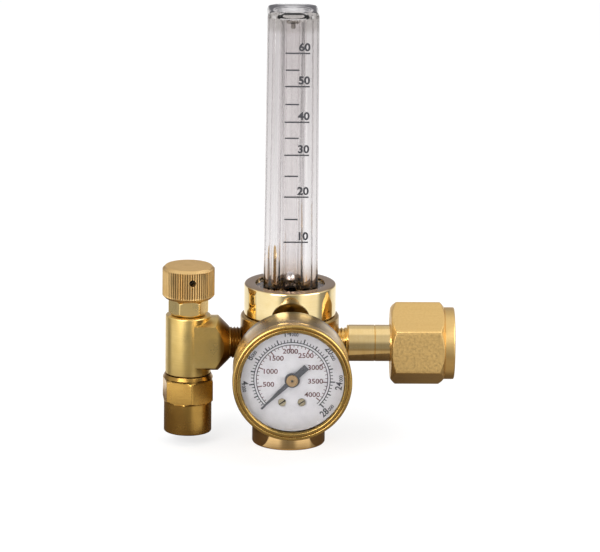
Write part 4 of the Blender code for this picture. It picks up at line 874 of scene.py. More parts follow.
def combined(mesh: Mesh, operation: str, tools: Iterable[Mesh]) -> Mesh:
    """Add meshes to a mesh or cut them out of it with exact Booleans.

    Args:
        mesh: the mesh that is worked on.
        operation: UNION or DIFFERENCE.
        tools: the closed meshes that are added or cut out.

    Returns:
        The result as a plain mesh.
    """
    holder = linked("scratch", mesh)
    others = [linked("scratch", tool) for tool in tools]
    for other in others:
        modifier = holder.modifiers.new("shape", "BOOLEAN")
        modifier.operation = operation
        modifier.solver = "EXACT"
        modifier.object = other
    result = settle(holder)
    for other in others:
        bpy.data.objects.remove(other)
    return result


def joined(meshes: Iterable[Mesh]) -> Mesh:
    """Put several closed meshes together as separate shells.

    Args:
        meshes: the shells.

    Returns:
        One mesh with all of them.
    """
    mesh = bmesh.new()
    for part in meshes:
        mesh.from_mesh(part)
    return settled(mesh)


class GeometryTree:
    """Geometry Nodes tree with named inputs, whose result becomes a plain mesh."""

    def __init__(self, name: str, inputs: Sequence[tuple[str, str, object]]) -> None:
        """Start a tree.

        Args:
            name: the tree's name.
            inputs: (name, socket type, default) for each input after the geometry.
        """
        self.tree = bpy.data.node_groups.new(name, "GeometryNodeTree")
        self.graph = Graph(self.tree)
        self.tree.interface.new_socket("Geometry", in_out="INPUT", socket_type="NodeSocketGeometry")
        self.identifiers = {}
        for label, kind, default in inputs:
            socket = self.tree.interface.new_socket(label, in_out="INPUT", socket_type=kind)
            if default is not None:
                socket.default_value = default
            self.identifiers[label] = socket.identifier
        self.tree.interface.new_socket("Geometry", in_out="OUTPUT", socket_type="NodeSocketGeometry")
        self.start = self.graph.node("NodeGroupInput").outputs

    def close(self, geometry: Socket) -> None:
        """End the tree: instances made real, the finish set, and the result put out.

        Args:
            geometry: the socket with what the tree made.
        """
        real = self.graph.node("GeometryNodeRealizeInstances", {"Geometry": geometry}).outputs[0]
        inputs = {"Geometry": real, "Material": self.start["Material"]}
        dressed = self.graph.node("GeometryNodeSetMaterial", inputs).outputs[0]
        self.graph.node("NodeGroupOutput", {0: dressed})

    def grow(self, mesh: Mesh, **values: object) -> Mesh:
        """Run the tree on a mesh.

        Args:
            mesh: what goes in as the geometry.
            values: the named inputs, with spaces in a name written as underscores.

        Returns:
            The result as a plain mesh.
        """
        holder = linked("scratch", mesh)
        modifier = holder.modifiers.new("grow", "NODES")
        modifier.node_group = self.tree
        for label, value in values.items():
            modifier[self.identifiers[label.replace("_", " ")]] = value
        return settle(holder)


def ridge_tree() -> GeometryTree:
    """Tree that cuts vees into a turned surface: a thread, a straight knurl or both.

    Returns:
        The tree. Starts is the number of vees round the axis and Turns how many pass each
        metre along it, so a thread has one start and a knurl has no turns.
    """
    number = "NodeSocketFloat"
    made = GeometryTree(
        "cut_ridges",
        [
            ("Starts", number, 1.0),
            ("Turns", number, 0.0),
            ("Depth", number, 0.0003),
            ("Low", number, 0.0),
            ("High", number, 1.0),
            ("Runout", number, 0.0005),
            ("Inner", number, 0.0),
            ("Outer", number, 1.0),
            ("Material", "NodeSocketMaterial", None),
        ],
    )
    graph, start = made.graph, made.start
    place = graph.node("GeometryNodeInputPosition").outputs[0]
    x, y, z = graph.parts(place).values()
    radius = graph.radius(x, y)
    angle = graph.math("DIVIDE", graph.math("ARCTAN2", y, x), 2.0 * math.pi)
    phase = graph.math("ADD", graph.times(angle, start["Starts"]), graph.times(z, start["Turns"]))
    vee = graph.times(graph.math("PINGPONG", phase, 0.5), 2.0)
    above = graph.math("DIVIDE", graph.math("SUBTRACT", z, start["Low"]), start["Runout"])
    below = graph.math("DIVIDE", graph.math("SUBTRACT", start["High"], z), start["Runout"])
    inside = graph.node("ShaderNodeClamp", {0: graph.math("MINIMUM", above, below)}).outputs[0]
    band = graph.times(graph.math("GREATER_THAN", radius, start["Inner"]), inside)
    band = graph.times(graph.math("LESS_THAN", radius, start["Outer"]), band)
    depth = graph.times(graph.times(vee, start["Depth"]), band)
    share = graph.math("DIVIDE", depth, graph.math("MAXIMUM", radius, 1e-6))
    move = graph.vector(*(graph.times(graph.times(part, share), -1.0) for part in (x, y)), 0.0)
    inputs = {"Geometry": start["Geometry"], "Offset": move}
    cut = graph.node("GeometryNodeSetPosition", inputs).outputs[0]
    inputs = {"Geometry": cut, "Name": CUT, "Value": graph.times(vee, band)}
    made.close(graph.node("GeometryNodeStoreNamedAttribute", inputs, data_type="FLOAT").outputs[0])
    return made


def mark_tree() -> GeometryTree:
    """Tree that sets a thin bar on each point, as long and as turned as the point says.

    Returns:
        The tree. The points carry the attributes reach and heading.
    """
    number = "NodeSocketFloat"
    made = GeometryTree(
        "set_marks",
        [("Width", number, 0.0002), ("Height", number, INK), ("Material", "NodeSocketMaterial", None)],
    )
    graph, start = made.graph, made.start
    size = graph.vector(1.0, start["Width"], start["Height"])
    bar = graph.node("GeometryNodeMeshCube", {"Size": size}).outputs[0]
    reach, heading = (
        graph.node("GeometryNodeInputNamedAttribute", {"Name": name}, data_type="FLOAT").outputs[0]
        for name in ("reach", "heading")
    )
    inputs = {
        "Points": start["Geometry"],
        "Instance": bar,
        "Rotation": graph.vector(0.0, 0.0, heading),
        "Scale": graph.vector(reach, 1.0, 1.0),
    }
    made.close(graph.node("GeometryNodeInstanceOnPoints", inputs).outputs[0])
    return made


RIDGES = ridge_tree()
MARKS = mark_tree()


@dataclass(frozen=True)
class Mark:
    """One printed line: its middle, its length and its heading."""

    x: float
    y: float
    reach: float
    heading: float = 0.0


def threaded(
    mesh: Mesh,
    radius: float,
    pitch: float,
    span: tuple[float, float],
    depth: float,
    runout: float,
    finish: Material,
) -> Mesh:
    """Cut a helical thread into a cylinder of a turned piece.

    Args:
        mesh: the turned piece.
        radius: the radius of the cylinder that is cut.
        pitch: the height of one turn.
        span: where the thread begins and ends along the axis.
        depth: how far the thread goes in towards the axis, or out from it where negative.
        runout: the length over which it fades at each end.
        finish: the piece's material.

    Returns:
        The threaded piece.
    """
    sizes = {"Starts": 1.0, "Turns": 1.0 / pitch, "Depth": depth, "Low": span[0], "High": span[1]}
    limits = {"Inner": radius - NEAR, "Outer": radius + NEAR}
    return RIDGES.grow(mesh, **sizes, **limits, Runout=runout, Material=finish)


def marks_mesh(marks: Sequence[Mark], width: float, finish: Material) -> Mesh:
    """Printed lines as thin solids on the plane z = 0.

    Args:
        marks: the lines.
        width: how wide each is.
        finish: the ink's material.

    Returns:
        The closed bars.
    """
    points = bpy.data.meshes.new("marks")
    points.from_pydata([(mark.x, mark.y, 0.0) for mark in marks], [], [])
    for name in ("reach", "heading"):
        values = points.attributes.new(name, "FLOAT", "POINT")
        values.data.foreach_set("value", [getattr(mark, name) for mark in marks])
    return MARKS.grow(points, Width=width, Height=INK, Material=finish)


def number_mesh(text: str, size: float, place: Matrix, width: float = 1.0, weight: float = 0.0) -> Mesh:
    """A number as thin raised letters, centred on a place.

    Args:
        text: the digits.
        size: the height of the letters' line.
        place: where the number's middle is and which way it stands.
        width: how wide the digits are, as a share of the type's own width.
        weight: how much the strokes are widened on each side.

    Returns:
        The closed letters.
    """
    curve = bpy.data.curves.new("number", "FONT")
    curve.body = text
    curve.size = size
    curve.align_x = "CENTER"
    curve.align_y = "CENTER"
    curve.extrude = INK / 2.0
    curve.offset = weight
    curve.resolution_u = 4
    mesh = settle(linked("number", curve))
    mesh.transform(place @ Matrix.Diagonal((width, 1.0, 1.0, 1.0)))
    return mesh


def add_piece(
    name: str,
    mesh: Mesh,
    finish: Material,
    axis: Axis,
    replaces: Sequence[str] = (),
    body: str = "regulator",
    sharp: float = SHARP,
) -> bpy.types.Object:
    """Set a finished mesh in place as a piece of the object.

    Args:
        name: the piece's name.
        mesh: its mesh, in its axis's frame.
        finish: its material.
        axis: the axis whose frame the mesh is in.
        replaces: the CAD nodes that it stands for.
        body: the CAD body that it moves with.
        sharp: the angle past which an edge stays crisp.

    Returns:
        The new piece.
    """
    mesh.transform(axis.matrix())
    mesh.materials.clear()
    mesh.materials.append(finish)
    mesh.shade_smooth()
    mesh.set_sharp_from_angle(angle=sharp)
    mesh.name = name
    made = linked(name, mesh)
    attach(made, body)
    if replaces:
        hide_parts(*replaces)
    LOG.info("%s: %d faces on %s", name, len(mesh.polygons), body)
    return made


def dress(node: str, finish: Material) -> None:
    """Give a CAD node that keeps its shape a better finish.

    Args:
        node: the node's name.
        finish: its material.
    """
    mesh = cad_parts[node].data
    mesh.materials.clear()
    mesh.materials.append(finish)


@dataclass
class Block:
    """The turned regulator body and the cap that it stands on."""

    base_radius: float = 0.0157
    base_height: float = 0.0140
    plug_radius: float = 0.0147
    plug_top: float = 0.0225
    bore: float = 0.0120
    floor: float = 0.0030
    stop_radius: float = 0.0040
    stop_top: float = 0.0057
    radius: float = 0.0212
    bottom: float = 0.0143
    shoulder: float = 0.0570
    chamber: float = 0.0150
    chamber_roof: float = 0.0310
    spigot: float = 0.0170
    spigot_top: float = 0.0635
    groove: tuple[float, float] = (0.01405, 0.01595)
    groove_depth: float = 0.0015
    gallery: float = 0.0130
    foot: float = 0.0083
    foot_floor: float = 0.0507
    pocket: float = 0.0071
    pocket_floor: float = 0.0495
    port: float = 0.00715
    inlet_port: float = 0.0109
    gauge_port: float = 0.0120
    outlet_port: float = 0.0095

    def build(self) -> None:
        """Build the base cap and the body."""
        self.build_base()
        self.build_body()

    def build_base(self) -> None:
        """Base cap: a plain turned cap with a plug, turned without its thread, that goes up into the body."""
        corners = [
            (0.0, 0.0, 0.0),
            (self.base_radius, 0.0, 0.0008),
            (self.base_radius, self.base_height, 0.0003),
            (self.plug_radius, self.base_height, 0.0),
            (self.plug_radius, self.plug_top, 0.0002),
            (self.bore, self.plug_top, 0.0),
            (self.bore, self.floor, 0.0),
            (self.stop_radius, self.floor, 0.0),
            (self.stop_radius, self.stop_top, 0.0),
            (0.0, self.stop_top, 0.0),
        ]
        finish = BASE_BRASS.on(BODY_AXIS)
        add_piece("base_cap_turned", turned(corners), finish, BODY_AXIS, ["base_cap"])

    def build_body(self) -> None:
        """Body: turned shell with a rounded shoulder, a spigot and three plain drilled ports."""
        groove_floor = self.spigot_top - self.groove_depth
        corners = [
            (0.0, self.chamber_roof, 0.0),
            (self.chamber, self.chamber_roof, 0.0),
            (self.chamber, self.bottom, 0.0002),
            (self.radius, self.bottom, 0.0005),
            (self.radius, self.shoulder, 0.0012),
            (self.spigot, self.shoulder, 0.0),
            (self.spigot, self.spigot_top, 0.0002),
            (self.groove[1], self.spigot_top, 0.0),
            (self.groove[1], groove_floor, 0.0),
            (self.groove[0], groove_floor, 0.0),
            (self.groove[0], self.spigot_top, 0.0),
            (self.gallery, self.spigot_top, 0.0),
            (self.gallery, self.shoulder, 0.0),
            (self.foot, self.shoulder, 0.0),
            (self.foot, self.foot_floor, 0.0),
            (self.pocket, self.foot_floor, 0.0),
            (self.pocket, self.pocket_floor, 0.0),
            (0.0, self.pocket_floor, 0.0),
        ]
        depths = {INLET_AXIS: self.inlet_port, GAUGE_AXIS: self.gauge_port, OUTLET_AXIS: self.outlet_port}
        levels = [(self.port, self.radius + FIT)]
        drills = [about(drill(depth, levels), axis) for axis, depth in depths.items()]
        mesh = combined(turned(corners), "DIFFERENCE", drills)
        finish = BODY_BRASS.on(BODY_AXIS)
        add_piece("body_turned", mesh, finish, BODY_AXIS, ["regulator_body"])


@dataclass
class Spring:
    """Regulating spring above the piston: a round wire coil, made at one length though the real one shortens
    as the piston rises.
    """

    wire: float = 0.0020
    diameter: float = 0.0205
    turns: float = 4.5
    travel: float = 0.0006
    rings_per_turn: int = 48
    points_per_ring: int = 16

    def build(self) -> None:
        """Build the coil at the length of its CAD node."""
        low, high = (corner[2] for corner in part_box("regulating_spring"))
        half = self.wire / 2.0
        reach = self.diameter / 2.0 - half
        count = round(self.rings_per_turn * self.turns)
        section = [2.0 * math.pi * k / self.points_per_ring for k in range(self.points_per_ring)]
        up = Vector((0.0, 0.0, 1.0))
        rings = []
        for i in range(count + 1):
            turn = 2.0 * math.pi * self.turns * i / count
            out = Vector((math.cos(turn), math.sin(turn), 0.0))
            middle = out * reach + up * (low + half + (high - low - self.wire) * i / count)
            rings.append([middle + (out * math.cos(a) + up * math.sin(a)) * half for a in section])
        finish = STEEL.on(BODY_AXIS)
        made = add_piece("spring_coiled", swept(rings), finish, BODY_AXIS, ["regulating_spring"])
        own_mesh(made)


@dataclass
class FlowTube:
    """Collar, clear cover, tapered inner tube, ball and printed scale."""

    collar_radius: float = 0.01975
    collar_bottom: float = 0.0573
    collar_top: float = 0.0707
    collar_bore: float = 0.0173
    lip_radius: float = 0.01489
    lip_bottom: float = 0.0680
    flange: float = 0.0170
    flange_bottom: float = 0.0638
    flange_top: float = 0.0677
    step_radius: float = 0.01459
    step_top: float = 0.0696
    width: float = 0.0233
    width_top: float = 0.0219
    corner: float = 0.0032
    top: float = 0.1910
    edge: float = 0.0021
    bore: float = 0.0092
    bore_top: float = 0.0085
    roof: float = 0.1882
    dome: float = 0.0016
    tube_jet: float = 0.0020
    foot_radius: float = 0.0080
    foot_bottom: float = 0.0510
    foot_top: float = 0.0570
    foot_groove: tuple[float, float] = (0.05305, 0.05495)
    foot_groove_radius: float = 0.0065
    tube_seat: float = 0.07003
    tube_top: float = 0.1879
    tube_outer: tuple[float, float] = (0.00515, 0.0068)
    tube_inner: tuple[float, float] = (0.0035, 0.0049)
    vent: float = 0.0020
    ball_height: float = 0.0728
    ball_radius: float = 0.003175
    scale_levels: tuple[float, ...] = (
        0.0915, 0.1015, 0.1113, 0.1204, 0.1296, 0.1370, 0.1440, 0.1517, 0.1595, 0.1666, 0.1739,
    )
    scale_step: int = 5
    scale_first: int = 10
    long_line: tuple[float, float] = (-0.0034, 0.0071)
    short_line: tuple[float, float] = (-0.0032, 0.0026)
    line_width: float = 0.00062
    digit_size: float = 0.0047
    digit_place: tuple[float, float] = (0.0047, 0.0025)

    def build(self) -> None:
        """Build each piece of the flow tube."""
        self.build_collar()
        self.build_cover()
        self.build_tube()
        self.build_ball()
        self.build_scale()

    def build_collar(self) -> None:
        """Mirror-polished ring nut with an inward lip."""
        corners = [
            (self.collar_bore, self.collar_bottom, 0.0),
            (self.collar_radius, self.collar_bottom, 0.0005),
            (self.collar_radius, self.collar_top, 0.0009),
            (self.lip_radius, self.collar_top, 0.0003),
            (self.lip_radius, self.lip_bottom, 0.0),
            (self.collar_bore, self.lip_bottom, 0.0),
        ]
        finish = MIRROR_BRASS.on(BODY_AXIS)
        mesh = turned(corners, BROAD)
        add_piece("collar_polished", mesh, finish, BODY_AXIS, ["tube_collar"])

    def square(self, width: float, corner: float, height: float, fillet: float) -> list[Vector]:
        """Ring of points round a square with cut corners.

        Args:
            width: the width across the square's sides.
            corner: how much each corner is cut back along a side.
            height: where the ring lies.
            fillet: the rounding at the ends of a side.

        Returns:
            The points, with more of them spread along the sides.
        """
        half = width / 2.0
        short = half - corner
        corners = []
        pair = [(half, -short), (half, short)]
        for _ in range(4):
            corners += [(x, y, fillet) for x, y in pair]
            pair = [(-y, x) for x, y in pair]
        outline = rounded(corners, closed=True, steps=4)
        parts = 8
        spread = []
        for (x, y), after in zip(outline, outline[1:] + outline[:1]):
            long = math.hypot(after[0] - x, after[1] - y) > fillet * 3.0
            for share in [k / parts for k in range(parts if long else 1)]:
                spread.append(Vector((x + (after[0] - x) * share, y + (after[1] - y) * share, height)))
        return spread

    def dome_rows(self) -> Outline:
        """Outline where the bore's wall rounds over into its roof.

        Returns:
            The radius and height of each row.
        """
        steps = 5
        turns = [math.pi / 2.0 * k / steps for k in range(1, steps + 1)]
        start = self.bore_top - self.dome
        return [(start + self.dome * math.cos(t), self.roof - self.dome * (1.0 - math.sin(t))) for t in turns]

    def build_cover(self) -> None:
        """Clear moulded cover: a round flange, a tapered prism and a blind tapered bore."""
        fillet = 0.0004
        root = self.square(self.width, self.corner, self.step_top, fillet)
        angles = [math.atan2(point.y, point.x) for point in root]
        edge = self.top - self.edge
        rings = [[Vector((0.0, 0.0, self.top))]]
        steps = 4
        for k in range(steps + 1):
            turn = math.pi / 2.0 * (1.0 - k / steps)
            inset = self.edge * (1.0 - math.cos(turn))
            height = edge + self.edge * math.sin(turn)
            width = self.width_top - 2.0 * inset
            rings.append(self.square(width, self.corner - inset * 0.6, height, fillet))
        rings.append(root)
        rings.append(ring(self.step_radius, self.step_top, angles))
        for radius, height in (
            (self.step_radius, self.flange_top),
            (self.flange, self.flange_top),
            (self.flange, self.flange_bottom),
            (self.bore, self.flange_bottom),
            (self.bore, self.step_top),
            (self.bore_top, self.roof - self.dome),
            *self.dome_rows(),
        ):
            rings.append(ring(radius, height, angles))
        rings.append([Vector((0.0, 0.0, self.roof))])
        finish = COVER_PLASTIC.material()
        add_piece("cover_moulded", skin(rings), finish, BODY_AXIS, ["flow_tube_cover"])

    def build_tube(self) -> None:
        """Tapered inner tube on its round foot, with four vents at the top."""
        groove_low, groove_high = self.foot_groove
        corners = [
            (self.tube_jet, self.foot_bottom, 0.0),
            (self.foot_radius, self.foot_bottom, 0.0003),
            (self.foot_radius, groove_low, 0.0),
            (self.foot_groove_radius, groove_low, 0.0),
            (self.foot_groove_radius, groove_high, 0.0),
            (self.foot_radius, groove_high, 0.0),
            (self.foot_radius, self.foot_top, 0.0003),
            (self.tube_outer[0], self.foot_top, 0.0004),
            (self.tube_outer[0], self.tube_seat, 0.0),
            (self.tube_outer[1], self.tube_top, 0.0003),
            (self.tube_inner[1], self.tube_top, 0.0003),
            (self.tube_inner[0], self.tube_seat, 0.0),
            (self.tube_jet, self.tube_seat, 0.0),
        ]
        across = (-self.vent / 2.0, self.vent / 2.0)
        along = (-0.0100, 0.0100)
        deep = (self.tube_top - self.vent, self.tube_top + self.vent / 2.0)
        slots = [box_mesh(along, across, deep), box_mesh(across, along, deep)]
        mesh = combined(turned(corners, SLIM), "DIFFERENCE", slots)
        finish = TUBE_PLASTIC.material()
        add_piece("tube_moulded", mesh, finish, BODY_AXIS, ["inner_flow_tube"])

    def build_ball(self) -> None:
        """Polished steel ball that floats in the tube."""
        ball = bmesh.new()
        bmesh.ops.create_icosphere(ball, subdivisions=5, radius=self.ball_radius)
        mesh = settled(ball)
        mesh.transform(Matrix.Translation((0.0, 0.0, self.ball_height)))
        finish = CHROME.on(BODY_AXIS)
        add_piece("ball_polished", mesh, finish, BODY_AXIS, ["flow_ball"], "ball", math.pi)

    def front_face(self) -> Matrix:
        """Place of the prism's front face.

        Returns:
            The matrix of a frame on the face, with its Y up the face and its Z out of it.
        """
        lean = math.atan2((self.width - self.width_top) / 2.0, self.top - self.edge - self.step_top)
        lift = Matrix.Translation((0.0, -self.width / 2.0, self.step_top))
        return lift @ Matrix.Rotation(math.pi / 2.0 - lean, 4, "X")

    def build_scale(self) -> None:
        """Plain lines and numbers printed on the front face."""
        ink = BLACK_INK.material()
        marks, digits = [], []
        for i, level in enumerate(self.scale_levels):
            height = level - self.step_top
            value = self.scale_first + i * self.scale_step
            long = value % (2 * self.scale_step) == 0
            left, right = self.long_line if long else self.short_line
            marks.append(Mark((left + right) / 2.0, height, right - left))
            if long:
                place = Matrix.Translation((self.digit_place[0], height + self.digit_place[1], 0.0))
                digits.append(number_mesh(str(value), self.digit_size, place, 1.04, 0.00016))
        scale = joined([marks_mesh(marks, self.line_width, ink), *digits])
        scale.transform(self.front_face() @ Matrix.Translation((0.0, 0.0, INK_LIFT)))
        add_piece("tube_scale_print", scale, ink, BODY_AXIS)


@dataclass
class Inlet:
    """Nipple, washer and cylinder nut."""

    thread: float = 0.00685
    thread_start: float = 0.0112
    bar: float = 0.0079
    bar_start: float = 0.0245
    bar_end: float = 0.0490
    head: float = 0.0099
    head_end: float = 0.0540
    passage: float = 0.0020
    pocket: float = 0.0046
    pocket_floor: float = 0.0447
    score: float = 0.0366
    pitch: float = 0.0014
    flats: float = 0.03175
    nut_start: float = 0.0434
    hex_end: float = 0.0665
    ring: float = 0.0155
    nut_end: float = 0.0708
    nut_bore: float = 0.0082
    thread_floor: float = 0.0487
    nut_thread: float = 0.01048
    mouth: float = 0.01125
    nut_pitch: float = 0.001814
    body_face: float = 0.0205
    washer: tuple[float, float] = (0.0052, 0.0097)
    washer_span: tuple[float, float] = (0.0543, 0.0565)

    def build(self) -> None:
        """Build the nipple, its washer and the nut."""
        self.build_nipple()
        self.build_washer()
        self.build_nut()

    def build_nipple(self) -> None:
        """Polished bar with a threaded end, two fine score lines and a head inside the nut."""
        corners = [
            (self.passage, self.thread_start, 0.0),
            (self.thread, self.thread_start, 0.0002),
            (self.thread, self.body_face, 0.0),
            *rows(self.thread, self.body_face + 0.0001, self.bar_start, 0.0001),
            (self.bar, self.bar_start, 0.0005),
            *self.score_line(self.bar_start + 0.0007),
            *self.score_line(self.score),
            (self.bar, self.bar_end, 0.0),
            (self.head, self.bar_end, 0.0003),
            (self.head, self.head_end, 0.0005),
            (self.pocket, self.head_end, 0.0002),
            (self.pocket, self.pocket_floor, 0.0),
            (self.passage, self.pocket_floor, 0.0),
        ]
        finish = POLISHED_BRASS.on(INLET_AXIS)
        span = (self.body_face, self.bar_start)
        mesh = threaded(turned(corners, SLIM), self.thread, self.pitch, span, 0.0007, 0.0004, finish)
        add_piece("nipple_turned", mesh, finish, INLET_AXIS, ["inlet_nipple"])

    def score_line(self, place: float) -> list[Corner]:
        """Fine groove round the bar."""
        depth, half = 0.00022, 0.00022
        return [(self.bar, place - half, 0.0), (self.bar - depth, place, 0.0), (self.bar, place + half, 0.0)]

    def build_washer(self) -> None:
        """Flat nylon washer in front of the nipple's head."""
        inner, outer = self.washer
        start, end = self.washer_span
        corners = [(inner, start, 0.0002), (outer, start, 0.0003), (outer, end, 0.0003), (inner, end, 0.0002)]
        mesh = turned(corners, FINE)
        add_piece("washer_cut", mesh, NYLON.material(), INLET_AXIS, ["inlet_washer"])

    def build_nut(self) -> None:
        """Hexagon nut with turned chamfers, a polished round shoulder and an inner thread."""
        span = (self.nut_start, self.hex_end)
        corners = [
            (self.nut_bore, self.nut_start, 0.0003),
            *chamfered(self.flats / 2.0 - 0.0005, self.flats, span, 0.0023, 14),
            (self.ring, self.hex_end + 0.0001, 0.0),
            (self.ring, self.nut_end, 0.0007),
            (self.mouth, self.nut_end, 0.0),
            *rows(self.nut_thread, self.nut_end - 0.00077, self.thread_floor + 0.0001, 0.0002),
            (self.nut_thread, self.thread_floor, 0.0),
            (self.nut_bore, self.thread_floor, 0.0),
        ]
        mesh = hexed(corners, Flats(self.flats, corner=0.0006), span, 0.0003)
        finish = NUT_BRASS.on(INLET_AXIS)
        span = (self.thread_floor + 0.0012, self.nut_end - 0.0004)
        mesh = threaded(mesh, self.nut_thread, self.nut_pitch, span, -0.0008, 0.0008, finish)
        add_piece("nut_milled", mesh, finish, INLET_AXIS, ["inlet_nut"], "nut")


@dataclass
class FlowValve:
    """Valve body, packing nut, knurled knob and outlet connector."""

    radius: float = 0.00975
    bottom: float = 0.0307
    top: float = 0.0565
    spigot: float = 0.0065
    spigot_bottom: float = 0.0227
    boss_flat: float = 0.0094
    boss_crown: float = 0.0117
    crown_radius: float = 0.0184
    boss_tip: float = 0.0260
    thread: float = 0.00685
    thread_start: float = 0.0127
    pitch: float = 0.0014
    packing_flats: float = 0.0150
    packing_bottom: float = 0.0568
    packing_top: float = 0.0638
    packing_turn: float = math.radians(4.0)
    knob_radius: float = 0.0112
    knob_bottom: float = 0.0641
    knob_top: float = 0.0781
    knob_bevel: float = 0.0012
    knob_ridges: int = 64
    screw_height: float = 0.0728
    screw_turn: float = math.radians(8.8)
    sleeve: float = 0.01025
    sleeve_bottom: float = 0.0048
    sleeve_top: float = 0.0184
    hex_top: float = 0.0282
    outlet_flats: float = 0.0202
    neck: float = 0.0108
    outlet_thread: float = 0.0074
    outlet_mouth: float = 0.0080
    outlet_turn: float = math.radians(8.0)
    passage: float = 0.0030
    needle_hole: float = 0.0013
    needle_seat: tuple[float, float] = (0.0364, 0.0404)
    stem_room: float = 0.0034
    packing_room: float = 0.0044
    packing_floor: float = 0.0505
    packing_spigot: float = 0.0041
    packing_spigot_bottom: float = 0.0554
    stem_hole: float = 0.0023
    stem_depth: float = 0.0120
    knurl_depth: float = 0.00042
    screw_hole: float = 0.0015
    connector_top: float = 0.0304
    connector_hole: float = 0.0068
    connector_floor: float = 0.0224
    outlet_depth: float = 0.0115
    outlet_cone: float = 0.0044

    def build(self) -> None:
        """Build each piece of the valve."""
        self.build_body()
        self.build_packing_nut()
        self.build_knob()
        self.build_connector()

    def boss(self) -> Mesh:
        """Side boss with flat cheeks, a crowned top and bottom, and a coned end.

        Returns:
            The closed mesh, about the outlet's axis.
        """
        reach = math.asin(self.boss_flat / self.crown_radius)
        steps = 16
        half = []
        for i in range(steps + 1):
            angle = reach * (2.0 * i / steps - 1.0)
            height = self.boss_crown - self.crown_radius * (1.0 - math.cos(angle))
            half.append((height, self.crown_radius * math.sin(angle)))
        edge = half[-1][0]
        half += [(edge * (1.0 - 2.0 * i / steps), self.boss_flat) for i in range(1, steps)]
        outline = half + [(-height, -side) for height, side in half]
        root = self.thread + FIT
        cone = 6
        rings = [[Vector((0.0, 0.0, self.boss_tip))]]
        for k in range(cone + 1):
            level = []
            for height, side in outline:
                radius = math.hypot(height, side)
                here = root + (radius - root) * k / cone
                x, y = height * here / radius, side * here / radius
                level.append(Vector((x, y, self.boss_tip + (here - root))))
            rings.append(level)
        rings.append([Vector((height, side, VALVE_OFFSET)) for height, side in outline])
        rings.append([Vector((0.0, 0.0, VALVE_OFFSET))])
        return skin(rings)

    def build_body(self) -> None:
        """Upright cylinder with a side boss and a threaded end that screws into the body."""
        corners = [
            (0.0, self.spigot_bottom, 0.0),
            (self.spigot, self.spigot_bottom, 0.0003),
            (self.spigot, self.bottom, 0.0),
            (self.radius, self.bottom, 0.0004),
            (self.radius, self.top, 0.0006),
            (0.0, self.top, 0.0),
        ]
        neck = [
            (0.0, self.thread_start, 0.0),
            (self.thread, self.thread_start, 0.0005),
            *rows(self.thread, self.thread_start + 0.0060, self.boss_tip + 0.0030, 0.0001),
            (0.0, self.boss_tip + 0.0031, 0.0),
        ]
        finish = VALVE_BRASS.on(VALVE_AXIS)
        span = (self.thread_start + 0.0065, self.boss_tip - 0.0001)
        thread = threaded(turned(neck, SLIM), self.thread, self.pitch, span, 0.0007, 0.0006, finish)
        mesh = about(turned(corners), VALVE_AXIS)
        for added in (self.boss(), thread):
            mesh = combined(mesh, "UNION", [about(added, OUTLET_AXIS)])
        levels = [
            (self.passage, self.needle_seat[0]),
            (self.needle_hole, self.needle_seat[1]),
            (self.stem_room, self.packing_floor),
            (self.packing_room, self.top + FIT),
        ]
        bore = about(drill(self.spigot_bottom - FIT, levels), VALVE_AXIS)
        side = about(drill(self.thread_start - FIT, [(self.passage, VALVE_OFFSET - 0.0001)]), OUTLET_AXIS)
        mesh = combined(mesh, "DIFFERENCE", [bore, side])
        mesh.transform(VALVE_AXIS.matrix().inverted())
        add_piece("valve_turned", mesh, finish, VALVE_AXIS, ["valve_body"])

    def build_packing_nut(self) -> None:
        """Small hexagon nut round the stem."""
        span = (self.packing_bottom, self.packing_top)
        corners = [
            (self.stem_hole, self.packing_spigot_bottom, 0.0),
            (self.packing_spigot, self.packing_spigot_bottom, 0.0),
            (self.packing_spigot, self.packing_bottom, 0.0),
            *chamfered(self.packing_flats / 2.0 - 0.0003, self.packing_flats, span, 0.0013, 10),
            (self.stem_hole, self.packing_top, 0.0003),
        ]
        mesh = hexed(corners, Flats(self.packing_flats, self.packing_turn, corner=0.0005), span, 0.0002)
        finish = PACKING_BRASS.on(VALVE_AXIS)
        add_piece("packing_nut_milled", mesh, finish, VALVE_AXIS, ["packing_nut"])

    def build_knob(self) -> None:
        """Knob with a straight knurl, plain bevels and a plain drilled hole for its set screw."""
        edge = self.knob_radius - self.knob_bevel
        low, high = self.knob_bottom + self.knob_bevel, self.knob_top - self.knob_bevel
        hole_top = self.knob_bottom + self.stem_depth
        corners = [
            (0.0, hole_top, 0.0),
            (self.stem_hole, hole_top, 0.0),
            (self.stem_hole, self.knob_bottom, 0.0003),
            (edge, self.knob_bottom, 0.0),
            *rows(self.knob_radius, low, high, 0.0005),
            (edge, self.knob_top, 0.0002),
            (0.0, self.knob_top, 0.0),
        ]
        finish = KNOB_BRASS.on(VALVE_AXIS)
        mesh = RIDGES.grow(
            turned(corners, self.knob_ridges * 6),
            Starts=float(self.knob_ridges),
            Turns=0.0,
            Depth=self.knurl_depth,
            Low=self.knob_bottom + self.knob_bevel * 0.5,
            High=self.knob_top - self.knob_bevel * 0.5,
            Runout=0.0009,
            Inner=edge + NEAR,
            Outer=1.0,
            Material=finish,
        )
        hole = drill(self.stem_hole, [(self.screw_hole, 0.0125)])
        aim = Matrix.Translation((0.0, 0.0, self.screw_height)) @ Matrix.Rotation(self.screw_turn, 4, "Z")
        hole.transform(aim @ Matrix.Rotation(math.pi / 2.0, 4, "X"))
        mesh = combined(mesh, "DIFFERENCE", [hole])
        add_piece("knob_knurled", mesh, finish, VALVE_AXIS, ["valve_knob"], "knob")

